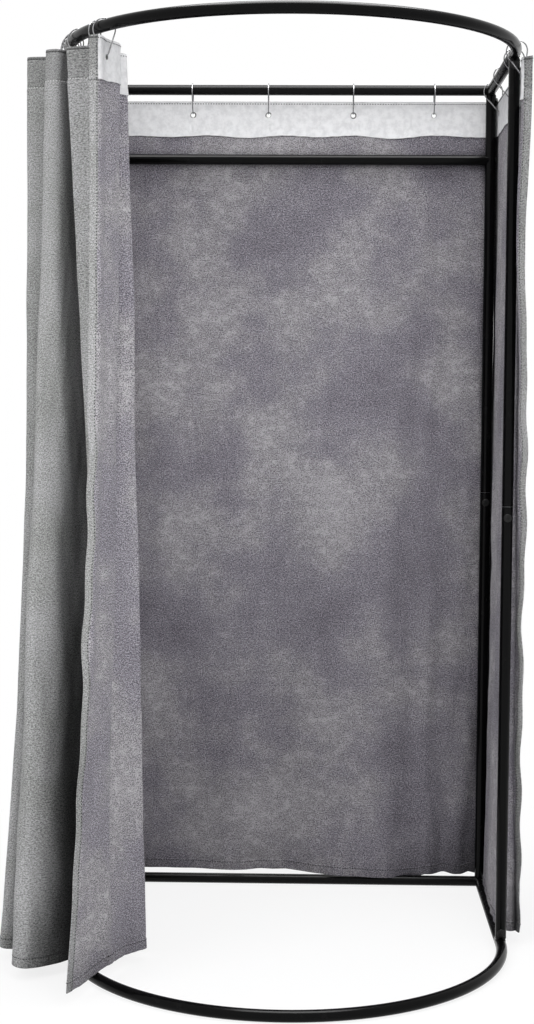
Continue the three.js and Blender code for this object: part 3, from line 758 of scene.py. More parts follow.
def stitch_recipe(thread: Material) -> Recipe:
    """Stitches of thread, one after another along each seam line."""
    recipe = Recipe("stitches", {
        "Pitch": 6.4 * MM, "Stitch length": 3.6 * MM, "Thread radius": 1.15 * MM,
        "Sides": 6, "Rings": 4, "Thread": thread,
    })
    curve = recipe.out("GeometryNodeMeshToCurve", {"Mesh": "Geometry"})
    spaced = recipe.out("GeometryNodeResampleCurve", {"Curve": curve, "Length": "Pitch"}, mode="LENGTH")
    ball = recipe.out("GeometryNodeMeshUVSphere", {"Segments": "Sides", "Rings": "Rings", "Radius": "Thread radius"})
    longer = recipe.maths("DIVIDE", recipe.maths("DIVIDE", "Stitch length", 2.0), "Thread radius")
    scale = recipe.out("ShaderNodeCombineXYZ", {0: 1.0, 1: 1.0, 2: longer})
    tangent = recipe.out("GeometryNodeInputTangent")
    turned = recipe.out("FunctionNodeAlignRotationToVector", {"Vector": tangent}, axis="Z")
    inputs = {"Points": spaced, "Instance": ball, "Rotation": turned, "Scale": scale}
    return recipe.close(recipe.out("GeometryNodeInstanceOnPoints", inputs), "Thread")


def eyelet_recipe(metal: Material, profile: Object) -> Recipe:
    """Pressed eyelets: a rolled profile turned round each point's axis."""
    recipe = Recipe("eyelets", {"Bore radius": 5.3 * MM, "Facets": 32, "Profile": profile, "Metal": metal})
    inputs = {"Resolution": "Facets", "Radius": "Bore radius"}
    bore = recipe.out("GeometryNodeCurvePrimitiveCircle", inputs, mode="RADIUS")
    shape = recipe.out("GeometryNodeObjectInfo", {"Object": "Profile"}, "Geometry")
    section = recipe.out("GeometryNodeMeshToCurve", {"Mesh": shape})
    swept = recipe.out("GeometryNodeCurveToMesh", {"Curve": bore, "Profile Curve": section})
    return recipe.close(recipe.stand(swept), "Metal")


def wire_recipe(metal: Material) -> Recipe:
    """Round wire along a closed line."""
    recipe = Recipe("wire", {"Wire radius": 1.4 * MM, "Sides": 12, "Metal": metal})
    curve = recipe.out("GeometryNodeMeshToCurve", {"Mesh": "Geometry"})
    inputs = {"Resolution": "Sides", "Radius": "Wire radius"}
    section = recipe.out("GeometryNodeCurvePrimitiveCircle", inputs, mode="RADIUS")
    return recipe.close(recipe.out("GeometryNodeCurveToMesh", {"Curve": curve, "Profile Curve": section}), "Metal")


def bolt_recipe(metal: Material, pattern: Object) -> Recipe:
    """Bolts set at points, each along its own axis."""
    recipe = Recipe("bolts", {"Bolt": pattern, "Metal": metal})
    shape = recipe.out("GeometryNodeObjectInfo", {"Object": "Bolt"}, "Geometry")
    return recipe.close(recipe.stand(shape), "Metal", smooth=False)


# Bolts


@dataclass
class Bolts:
    """Low-headed socket bolts of the frame."""

    finishes: Finishes
    head_radius: float = 9.5
    head_height: float = 3.4
    shank_radius: float = 3.0
    reach: float = 16.0
    socket_across: float = 5.0
    socket_depth: float = 2.4
    end_inset: float = 27.0
    middle_height: float = 975.0
    shank_chamfer: float = 0.5
    turned_edge: float = 0.25
    socket_mouth: float = 1.06
    socket_chamfer: float = 0.2
    dome: Rows = ((1, 0.42), (0.965, 0.58), (0.88, 0.78), (0.76, 0.90), (0.62, 0.97), (0.50, 1))
    sides: int = 48
    smooth_below: float = 35.0

    def places(self) -> list[tuple[str, Array, Array]]:
        """CAD node, seat and direction of every bolt."""
        made = []
        front = np.array([0.0, -1.0, 0.0])
        for name, (x, y) in UPRIGHTS.items():
            end = front if y else np.array([math.copysign(1, x), 0.0, 0.0])
            spots = [("base", BASE_HEIGHT + self.end_inset, end), ("middle", self.middle_height, front),
                     ("top", TOP_HEIGHT - self.end_inset, end)]
            if not y:
                spots.append(("crossbar", CROSSBAR_HEIGHT, end))
            for part, height, axis in spots:
                seat = np.array([x, y, height]) + axis * (TUBE_RADIUS + FACE_GAP)
                made.append((f"bolt_{part}_{name}", seat, axis))
        return made

    def pattern(self) -> Object:
        """One bolt with its head up along +Z: a domed head with a turned edge, and a hexagon socket."""
        shank, length, r, h = self.shank_radius, self.reach, self.head_radius, self.head_height
        chamfer, edge = self.shank_chamfer, self.turned_edge
        angle = 2 * math.pi * np.arange(self.sides) / self.sides
        hexagon = self.socket_across / 2 / np.cos((angle + math.pi / 6) % (math.pi / 3) - math.pi / 6)
        outline = [
            (shank - chamfer, -length), (shank, -length + chamfer), (shank, -0.02), (r - edge, 0.0), (r, edge),
            *((r * across, h * high) for across, high in self.dome),
            (self.socket_mouth * hexagon, h), (hexagon, h - self.socket_chamfer), (hexagon, h - self.socket_depth),
        ]
        shells = Shells()
        shells.add([np.stack([radius * np.cos(angle), radius * np.sin(angle), np.full(self.sides, z)], 1)
                    for radius, z in outline], False)
        return shells.piece("bolt_pattern", self.finishes.blackened, self.smooth_below)

    def build(self) -> None:
        """Builds the bolts as one piece on the frame."""
        pattern = self.pattern()
        nodes, seats, axes = zip(*self.places())
        carrier = guide([np.array([seat]) for seat in seats], axes)
        piece = bolt_recipe(self.finishes.blackened, pattern).run(carrier, "frame_bolts")
        bpy.data.objects.remove(pattern)
        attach(piece, Body.FRAME.value)
        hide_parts(*nodes)
        log.info("frame_bolts stands for %d bolts", len(nodes))


# Cloth in plan


class FoldTable:
    """Smooth curves through rows of numbers, of which the first is the place on the cloth."""

    def __init__(self, rows: Rows) -> None:
        """Works out the slopes at the rows."""
        self.rows = np.array(rows, float)
        self.place = self.rows[:, 0]
        before = np.maximum(np.arange(len(rows)) - 1, 0)
        after = np.minimum(np.arange(len(rows)) + 1, len(rows) - 1)
        self.slope = (self.rows[after] - self.rows[before]) / (self.place[after] - self.place[before])[:, None]

    def at(self, place: Array) -> Array:
        """Values of the table's other columns at places, in the last axis."""
        place = np.asarray(place, float)
        i = np.clip(np.searchsorted(self.place, place, side="right") - 1, 0, len(self.place) - 2)
        step = (self.place[i + 1] - self.place[i])[..., None]
        t = (place - self.place[i])[..., None] / step
        made = (2 * t ** 3 - 3 * t ** 2 + 1) * self.rows[i] + (3 * t ** 2 - 2 * t ** 3) * self.rows[i + 1]
        made += step * ((t ** 3 - 2 * t ** 2 + t) * self.slope[i] + (t ** 3 - t ** 2) * self.slope[i + 1])
        return made[..., 1:]


Directions = tuple[Array, Array, Array]


def rail_place(along: Array | float, sign: int) -> Directions:
    """Place on the top rail in plan, counted round the front from an upright.

    Args:
        along: Length round the arc, or back along the side rail where it is negative.
        sign: -1 from the left upright and 1 from the right one.

    Returns:
        Point, forward and outward directions, each with two numbers in the last axis.
    """
    along = np.asarray(along, float)
    angle = np.maximum(along, 0) / HALF_SPAN
    outward = np.stack([sign * np.cos(angle), -np.sin(angle)], -1)
    forward = np.stack([-sign * np.sin(angle), -np.cos(angle)], -1)
    point = HALF_SPAN * outward - np.array([0.0, SIDE_LENGTH])
    point[..., 1] += np.maximum(-along, 0)
    return point, forward, outward


Surface = Callable[[Array, Array], Array]

WALL_FLARE = 1.5
BESIDE = np.array([-2.0, 2.0])
LENGTH_SAMPLES = 2001


def in_space(level: Array, fall: Array) -> Array:
    """Points of the cloth from their places in plan and their fall."""
    return np.concatenate([level, (CLOTH_TOP - fall * CLOTH_HEIGHT)[..., None]], -1)


def fold_surface(rows: Rows, sign: int) -> Surface:
    """Middle surface of a gathered or short end of the cloth.

    Args:
        rows: Its fold table.
        sign: Which front upright the table counts from.

    Returns:
        A function of place and fall, which is 0 at the top edge and 1 at the hem.
    """
    table = FoldTable(rows)

    def surface(place: Array, fall: Array) -> Array:
        top_along, top_out, hem_along, hem_out, flare = np.moveaxis(table.at(place), -1, 0)
        high, low = (point + outward * out[..., None] for (point, _, outward), out in (
            (rail_place(top_along, sign), top_out), (rail_place(hem_along, sign), hem_out)))
        return in_space(high + (low - high) * (np.maximum(fall, 0) ** flare)[..., None], fall)

    return surface


def wall_surface(start: Array, end: Array, outward: Array, hem: Rows) -> Surface:
    """Middle surface of a still wall, which turns half of a corner past the ends of its line.

    Args:
        start: One end of its line, in plan.
        end: The other end.
        outward: Direction out of the room.
        hem: Places and distances out of the rail's centreline at the hem.

    Returns:
        A function of place and fall.
    """
    table = FoldTable(hem)
    length = float(np.linalg.norm(end - start))
    forward = (end - start) / length

    def surface(place: Array, fall: Array) -> Array:
        on_line = np.clip(place, 0, length)
        angle = (place - on_line) / STAND_OFF
        away = outward * np.cos(angle)[..., None] + forward * np.sin(angle)[..., None]
        out = STAND_OFF + (table.at(on_line)[..., 0] - STAND_OFF) * np.maximum(fall, 0) ** WALL_FLARE
        return in_space(start + forward * on_line[..., None] + away * out[..., None], fall)

    return surface


# Fold tables: place; place and distance out of the rail at the top, and at the hem; how late the fold flares
GATHER_FOLDS: Rows = (
    (0, 337, 43, 361, 121, 2.8), (22, 350, 27, 353, 101, 2.7), (60, 326, -3, 336, 66, 2.4),
    (110, 305, -40, 303, 12, 2.1), (150, 284, -56, 270, -31, 1.9), (200, 282, -6, 261, -42, 1.8),
    (250, 246, -14, 251, -52, 1.5), (310, 218, 12, 243, -60, 1.15), (352, 201, 27, 236, -67, 1.05),
    (395, 204, 13, 229, -75, 1.1), (455, 195, -7, 218, -88, 1.2), (515, 179, -62, 190, -122, 0.9),
    (557, 168, -108, 160, -155, 0.75), (600, 134, -82, 118, -128, 0.9), (660, 147, -7, 148, -37, 1.3),
    (715, 174, 37, 201, 47, 1.3), (762, 156, 59, 210, 124, 1.1), (810, 133, 38, 175, 144, 1.1),
    (865, 115, -2, 142, 87, 1.6), (925, 107, -52, 123, 26, 2.1), (967, 89, -76, 102, -17, 2.4),
    (1010, 65, -54, 77, -1, 2.5), (1070, 78, 0, 88, 56, 2.6), (1125, 85, 51, 100, 110, 2.7),
    (1172, 72, 90, 93, 154, 2.8), (1225, 44, 65, 64, 155, 2.7), (1275, 33, 11, 38, 104, 2.4),
    (1305, 12, 18, 21, 78, 2.3), (1337, -12, 19, 1, 48, 2.2), (1368, -30, STAND_OFF, -30, 24, 2),
    (1400, -60, STAND_OFF, -60, STAND_OFF, 2),
)
GATHER_HOOKS = (1275, 1070, 865, 660, 455, 200, 60)
SHORT_FOLDS: Rows = (
    (0, -90, STAND_OFF, -90, 1, 1.5), (24, -66, STAND_OFF, -67, 4, 1.5), (62, -28, 17, -48, 26, 1.45),
    (100, 14, 19, -62, 44, 1.15), (140, 46, 22, -92, 50, 1.0), (178, 76, 14, -76, 34, 0.85),
    (204, 98, 18, -58, 36, 0.75), (226, 113, 39, -40, 44, 0.7),
)
SHORT_HOOKS = (62, 178)
# Tables of the walls' hems: place, and distance out of the rail or lift of the edge
REAR_HEM: Rows = (
    (0, STAND_OFF), (100, 15), (230, 6), (345, -14), (440, 12), (540, -2), (620, -17),
    (712, -19), (792, 13), (826, 4), (862, 13), (920, 12), (965, STAND_OFF),
)
REAR_LIFT: Rows = (
    (0, 6), (264, 11), (400, 12), (440, 9), (475, 10), (528, 5), (570, 2), (650, 0), (715, -3), (770, -8),
    (806, -6), (826, 1), (850, 1), (872, 8), (900, 1), (920, 1), (937, 8), (955, 3), (965, 2),
)
LEFT_HEM: Rows = (
    (0, STAND_OFF), (32.5, STAND_OFF), (112.5, 8), (232.5, -6), (362.5, 4), (442.5, STAND_OFF),
)
RIGHT_HEM: Rows = (
    (0, 1), (30, -1), (86, -2), (200, 0), (300, 2), (356, 6), (398, STAND_OFF), (412.5, STAND_OFF),
)


# Hooks


@dataclass(frozen=True)
class HookShape:
    """A pear-shaped loop of wire: a wide turn over the rail, and a narrow one in the eyelet."""

    wire: float = 2.8
    top_radius: float = 22.5
    toe_radius: float = 6.0
    clearance: float = 0.9
    rail_sides: int = 16
    eyelet_drop: float = 36.0
    eyelet_bore: float = 12.0
    cloth_drop: float = 26.0
    yaw_limit: float = math.radians(31)
    ride_rounds: int = 4
    ride_steps: tuple[int, int] = (11, 5)
    wire_steps: tuple[int, int] = (30, 12)

    @property
    def seat(self) -> float:
        """Rail's centre to the wire's inner side, over the corners of the rail's solid."""
        return TUBE_RADIUS / math.cos(math.pi / self.rail_sides) + self.clearance

    @property
    def top_drop(self) -> float:
        """Rail's centre down to the centre of the wide turn."""
        return self.top_radius - self.wire / 2 - self.seat

    @property
    def toe_drop(self) -> float:
        """Rail's centre down to the centre of the narrow turn."""
        return (self.cloth_drop + self.eyelet_drop - self.eyelet_bore / 2 + self.clearance
                + self.wire / 2 - self.toe_radius)

    @property
    def taper(self) -> float:
        """Slope of the straight legs."""
        return math.asin((self.top_radius - self.toe_radius) / (self.toe_drop - self.top_drop))


@dataclass
class HungHook:
    """A hook as it hangs: where it turns from, which way it faces, its tilt and its eyelet."""

    shape: HookShape
    hanger: Array
    across: Array
    tilt: float
    eyelet: Array = field(default_factory=lambda: np.zeros(3))

    def line(self, top_steps: int, toe_steps: int) -> Array:
        """Centreline of the wire, as a closed line of points."""
        upward = UP * math.cos(self.tilt) - self.across * math.sin(self.tilt)
        sideways = UP * math.sin(self.tilt) + self.across * math.cos(self.tilt)
        top, toe = math.pi + self.shape.taper, 2 * math.pi - self.shape.taper
        made = []
        for drop, radius, start, end, steps in (
            (self.shape.top_drop, self.shape.top_radius, -self.shape.taper, top, top_steps),
            (self.shape.toe_drop, self.shape.toe_radius, top, toe, toe_steps),
        ):
            angle = np.linspace(start, end, steps + 1)[:, None]
            side = sideways * np.cos(angle) + upward * np.sin(angle)
            made.append(self.hanger - upward * drop + side * radius)
        return np.concatenate(made)


def distance_to_rail(points: Array) -> Array:
    """Distance of points from the centreline of the top rail."""
    x, y, z = points.T
    in_front = np.minimum(y + SIDE_LENGTH, 0)
    round_bend = np.hypot(x, in_front) - HALF_SPAN
    straight = np.minimum(np.abs(HALF_SPAN - np.abs(x)), np.abs(y))
    return np.hypot(np.where(in_front < 0, round_bend, straight), z - TOP_HEIGHT)


def right_of(surface: Surface, place: float, fall: float) -> Array:
    """Level direction square to the cloth at a place, to the right of a walk along it."""
    before, after = surface(place + BESIDE, np.full(2, fall))
    along = unit(after - before)
    return np.array([along[1], -along[0], 0.0])


def hang_hook(shape: HookShape, surface: Surface, place: float, rail: Directions) -> HungHook:
    """Works out how a hook hangs on the rail for an eyelet in the cloth.

    Args:
        shape: The hook.
        surface: Middle surface of the cloth.
        place: Place of the eyelet on the cloth.
        rail: Point, forward and outward directions of the rail there, in plan.

    Returns:
        The hook with its eyelet's centre.
    """
    point, forward, outward = (np.append(v, 0.0) for v in rail)
    fall = shape.eyelet_drop / CLOTH_HEIGHT
    target = surface(np.array([place]), np.array([fall]))[0]
    target[2] = point[2] = TOP_HEIGHT
    normal = right_of(surface, place, fall)
    turn = math.atan2(normal @ forward, normal @ outward)
    if abs(turn) > math.pi / 2:
        turn -= math.copysign(math.pi, turn)
    yaw = min(max(turn, -shape.yaw_limit), shape.yaw_limit)
    across = outward * math.cos(yaw) + forward * math.sin(yaw)
    lean = float((target - point) @ outward) / math.cos(yaw)
    hung = HungHook(shape, target - across * lean, across, math.asin(lean / shape.toe_drop))
    for _ in range(shape.ride_rounds):
        least = float(distance_to_rail(hung.line(*shape.ride_steps)).min())
        hung.hanger = hung.hanger + UP * max(shape.seat + shape.wire / 2 - least, 0)
    wire = hung.hanger[2] - shape.toe_drop * math.cos(hung.tilt) - shape.toe_radius
    hung.eyelet = np.array([target[0], target[1], wire + shape.wire / 2 + shape.clearance - shape.eyelet_bore / 2])
    return hung


# Cloth


def bell(distance: Array, width: float) -> Array:
    """A bump of height 1 that fades over a width."""
    return np.exp(-(distance / width) ** 2)


def rise(value: Array, start: float, end: float) -> Array:
    """Goes smoothly from 0 at start to 1 at end."""
    t = np.clip((value - start) / (end - start), 0, 1)
    return t * t * (3 - 2 * t)


class SoftNoise:
    """Smooth waves of mixed lengths over the cloth, the same at each run."""

    def __init__(self, seed: int, across: float, down: float, waves: int = 9) -> None:
        """Draws the waves.

        Args:
            seed: Seed of the draw.
            across: Usual wavelength along the cloth.
            down: Usual wavelength down the cloth.
            waves: How many are added.
        """
        draw = np.random.default_rng(seed)
        self.u = 2 * math.pi / across * draw.uniform(0.5, 1.6, waves) * draw.choice([-1, 1], waves)
        self.v = 2 * math.pi / down * draw.uniform(0.3, 1.6, waves)
        self.phase = draw.uniform(0, 2 * math.pi, waves)

    def at(self, along: Array | float, drop: Array | float) -> Array:
        """Height of the waves, mostly within 1."""
        waves = (np.sin(u * along + v * drop + phase) for u, v, phase in zip(self.u, self.v, self.phase))
        return sum(waves) / math.sqrt(len(self.u))


def soft_noise(seed: int, across: float, down: float) -> SoftNoise:
    """A dataclass field that holds soft noise."""
    return field(default_factory=lambda: SoftNoise(seed, across, down))


# Rows and columns of the cloth's grid beside a seam and beside a folded edge, and its finishes by number
SEAM_SIDE = 1.4
FOLD_SIDE = 0.35
ON_OUTSIDE, ON_INSIDE, ON_BAND = range(3)


@dataclass
class Sewing:
    """Sizes of the heading, the hems and their seams, and what they do to the cloth."""

    band: float = 85.0
    band_wander: float = 2.0
    band_ripple: float = 0.3
    band_wander_fades: tuple[float, float] = (1.0, 40.0)
    band_thickness: float = 0.9
    top_seam: float = 5.0
    band_seam: float = 65.0
    side_hem: float = 16.5
    side_seam: float = 14.0
    bottom_hem: float = CLOTH_HEIGHT - 22.0
    bottom_seam: float = CLOTH_HEIGHT - 19.5
    hem_thickness: float = 1.3
    groove: float = 0.55
    groove_width: float = 1.3
    pucker: float = 0.6
    pucker_widths: tuple[float, float] = (9.0, 12.0)
    loose_edge: float = 1.5
    seam_step: float = 0.9
    wave: float = 1.5
    dent: float = 0.45
    waves_set_in: tuple[float, float] = (70.0, 420.0)
    wrinkle: float = 0.5
    wrinkles_set_in: tuple[float, float] = (8.0, 20.0)
    wrinkles_fade: tuple[float, float] = (75.0, 150.0)
    edge_wave: float = 4.0
    edge_tilt: float = 0.5
    edge_waves_set_in: tuple[float, float] = (250.0, 900.0)
    edge_reach: float = 48.0
    pull_at: float = 390.0
    pull_reach: float = 190.0
    pull_width: float = 60.0
    lift_reach: float = 320.0
    tuck: float = 1.6
    tuck_drops: tuple[float, ...] = (39.0, 50.0, 61.0)
    tuck_width: float = 2.6
    waves: SoftNoise = soft_noise(11, 90.0, 700.0)
    dents: SoftNoise = soft_noise(23, 38.0, 190.0)
    ripple: SoftNoise = soft_noise(37, 16.0, 400.0)
    lift: SoftNoise = soft_noise(41, 260.0, 5000.0)
    crumple: SoftNoise = soft_noise(53, 48.0, 75.0)
    sway: SoftNoise = soft_noise(61, 4000.0, 240.0)

    def drops(self) -> Array:
        """Rows of the cloth's grid, as drops below its top edge, closer together at seams and edges."""
        seams = (self.top_seam, self.band_seam, self.bottom_seam)
        top, middle, bottom = ((seam - SEAM_SIDE, seam, seam + SEAM_SIDE) for seam in seams)
        band, edge = self.band, self.bottom_hem
        return np.array([
            0, 2, *top, 8.5, 12, 16, 20, 24, *np.arange(27, 62, 2.8), *middle,
            69, 73, 77, 81, 83.5, band, band + FOLD_SIDE, 87, 90, 95, 102, 110, *np.linspace(120, edge - 12, 150),
            edge - 6, edge - 2, edge - FOLD_SIDE, edge, *bottom, self.bottom_seam + 6,
            CLOTH_HEIGHT - 7, CLOTH_HEIGHT - 2.5, CLOTH_HEIGHT,
        ])

    def shift(self, along: Array, drop: Array) -> Array:
        """Lets the band's lower edge wander a little, as sewn."""
        wander = self.band_wander * self.lift.at(along, 0.0) + self.band_ripple * self.dents.at(along, 0.0)
        fade = 1 - rise(drop, *(self.band + reach for reach in self.band_wander_fades))
        return drop + wander * rise(drop, self.band_seam + 2, self.band) * fade

    def step_out(self, drop: Array) -> Array:
        """How far the single cloth under the band's seam stands out of the lined heading."""
        return self.seam_step * rise(drop, self.band_seam - 0.5, self.band_seam + 2.5)

    def flutter(self, from_edge: Array, drop: Array) -> Array:
        """Waves of a leading edge, which grow towards the hem."""
        grown = rise(drop, *self.edge_waves_set_in) * bell(from_edge, self.edge_reach)
        return self.edge_wave * self.sway.at(0.0, drop) * grown

    def height(self, along: Array, drop: Array) -> Array:
        """Soft waves and dents of the middle surface along its normal."""
        seams = zip((self.band_seam, self.bottom_seam), self.pucker_widths)
        near_seams = sum(bell(drop - seam, width) for seam, width in seams)
        soft = self.wave * self.waves.at(along, drop) + self.dent * self.dents.at(along, drop)
        wrinkled = rise(drop, *self.wrinkles_set_in) * (1 - rise(drop, *self.wrinkles_fade))
        made = rise(drop, *self.waves_set_in) * soft + self.wrinkle * self.crumple.at(along, drop) * wrinkled
        return made + self.step_out(drop) + self.pucker * near_seams * self.ripple.at(along, drop)

    def lining(self, along: Array, drop: Array) -> Array:
        """Thickness that the band and the turned hem add inside, with the band's free edge a little off the cloth."""
        flutter = np.maximum(0.6 + 0.4 * self.waves.at(along, 0.0), 0.1)
        loose = self.loose_edge * flutter * rise(drop, self.band_seam + 4, self.band)
        band = (self.band_thickness + loose + self.step_out(drop)) * (drop <= self.band)
        return band + self.hem_thickness * (drop >= self.bottom_hem)

    def grooves(self, drop: Array) -> Array:
        """How far each level seam draws the cloth in."""
        return sum(bell(drop - seam, self.groove_width) for seam in (self.top_seam, self.band_seam, self.bottom_seam))


# Columns of the cloth's grid, from an eyelet's centre and from a leading edge, and the room that they clear
EYELET_COLUMNS = np.arange(-12.0, 12.1, 2.4)
EYELET_CLEAR = 13.5
EDGE_COLUMNS = np.array([0, 1.2, 4, 7.5, 11, 12.6, 14, 15.4, 16.5, 16.85, 19.5])
EDGE_CLEAR = 24.5
LEAST_GAP = 0.3


@dataclass
class Run:
    """One run of the cloth in its own places.

    The ends are its lowest and highest place. At the anchor its length of cloth is the origin, and it
    grows with the direction's sign. The outside is 1 where the walk from end to end has the room on
    its left, and -1 on its right. The lead is the place of a leading edge.
    """

    name: str
    surface: Surface
    rail: Callable[[float], Directions]
    ends: tuple[float, float]
    anchor: float
    origin: float
    direction: int
    outside: int
    step: float
    cuts: tuple[float, ...] = ()
    hooks: dict[str, float] = field(default_factory=dict)
    lead: float | None = None
    lead_way: int = 1
    pull: float = 0.0
    hem_lift: Rows = ((0, 0),)
    hung: dict[str, HungHook] = field(default_factory=dict)

    def along(self, places: Array) -> Array:
        """Length of cloth at places, counted over the whole curtain at half its height."""
        fine = np.linspace(*self.ends, LENGTH_SAMPLES)
        middle = self.surface(fine, np.full(len(fine), 0.5))
        length = np.concatenate([[0.0], np.cumsum(np.linalg.norm(np.diff(middle, axis=0), axis=1))])
        from_anchor = np.interp(places, fine, length) - np.interp(self.anchor, fine, length)
        return self.origin + self.direction * from_anchor

    def stretch(self, place: float) -> float:
        """Length of cloth for each unit of place, beside an eyelet."""
        near = np.clip([place - 1.0, place + 1.0], *self.ends)
        pair = self.surface(near, np.full(2, HookShape.eyelet_drop / CLOTH_HEIGHT))
        return float(np.linalg.norm(pair[1] - pair[0]) / (near[1] - near[0]))

    def columns(self) -> Array:
        """Places of the grid's columns, closer together at an eyelet and at the side hem."""
        fixed = np.array(sorted({*self.ends, *self.cuts, *self.hooks.values()}), float)
        grid = fixed[-1:]
        for low, high in zip(fixed, fixed[1:]):
            count = max(round((high - low) / self.step), 1)
            grid = np.concatenate([grid, np.linspace(low, high, count, endpoint=False)])
        for place in self.hooks.values():
            stretch = self.stretch(place)
            close = place + EYELET_COLUMNS / stretch
            grid = np.concatenate([grid[np.abs(grid - place) > EYELET_CLEAR / stretch], close])
        if self.lead is not None:
            near = self.lead + self.lead_way * EDGE_COLUMNS
            grid = np.concatenate([grid[np.abs(grid - self.lead) > EDGE_CLEAR], near])
        grid = np.concatenate([grid, self.cuts])
        grid = np.unique(np.round(grid[(grid >= self.ends[0]) & (grid <= self.ends[1])], 4))
        keep = np.ones(len(grid), bool)
        for i in range(1, len(grid)):
            if grid[i] - grid[i - 1] < LEAST_GAP and self.lead is None:
                keep[i - 1 if grid[i] in np.round(fixed, 4) else i] = False
        return grid[keep]


@dataclass
class Layers:
    """Points and normals of both faces of a run of cloth, with its grid.

    Open marks the grid's faces outside the eyelets' holes. Tape and hem mark the points where the
    band lies inside, and where the cloth is turned in.
    """

    places: Array
    drops: Array
    along: Array
    outer: Array
    inner: Array
    outer_normal: Array
    inner_normal: Array
    open: Array
    tape: Array
    hem: Array

    def column(self, place: float) -> int:
        """Number of the column at a place."""
        return int(np.argmin(np.abs(self.places - place)))

    def row(self, drop: float) -> int:
        """Number of the row at a drop."""
        return int(np.argmin(np.abs(self.drops - drop)))


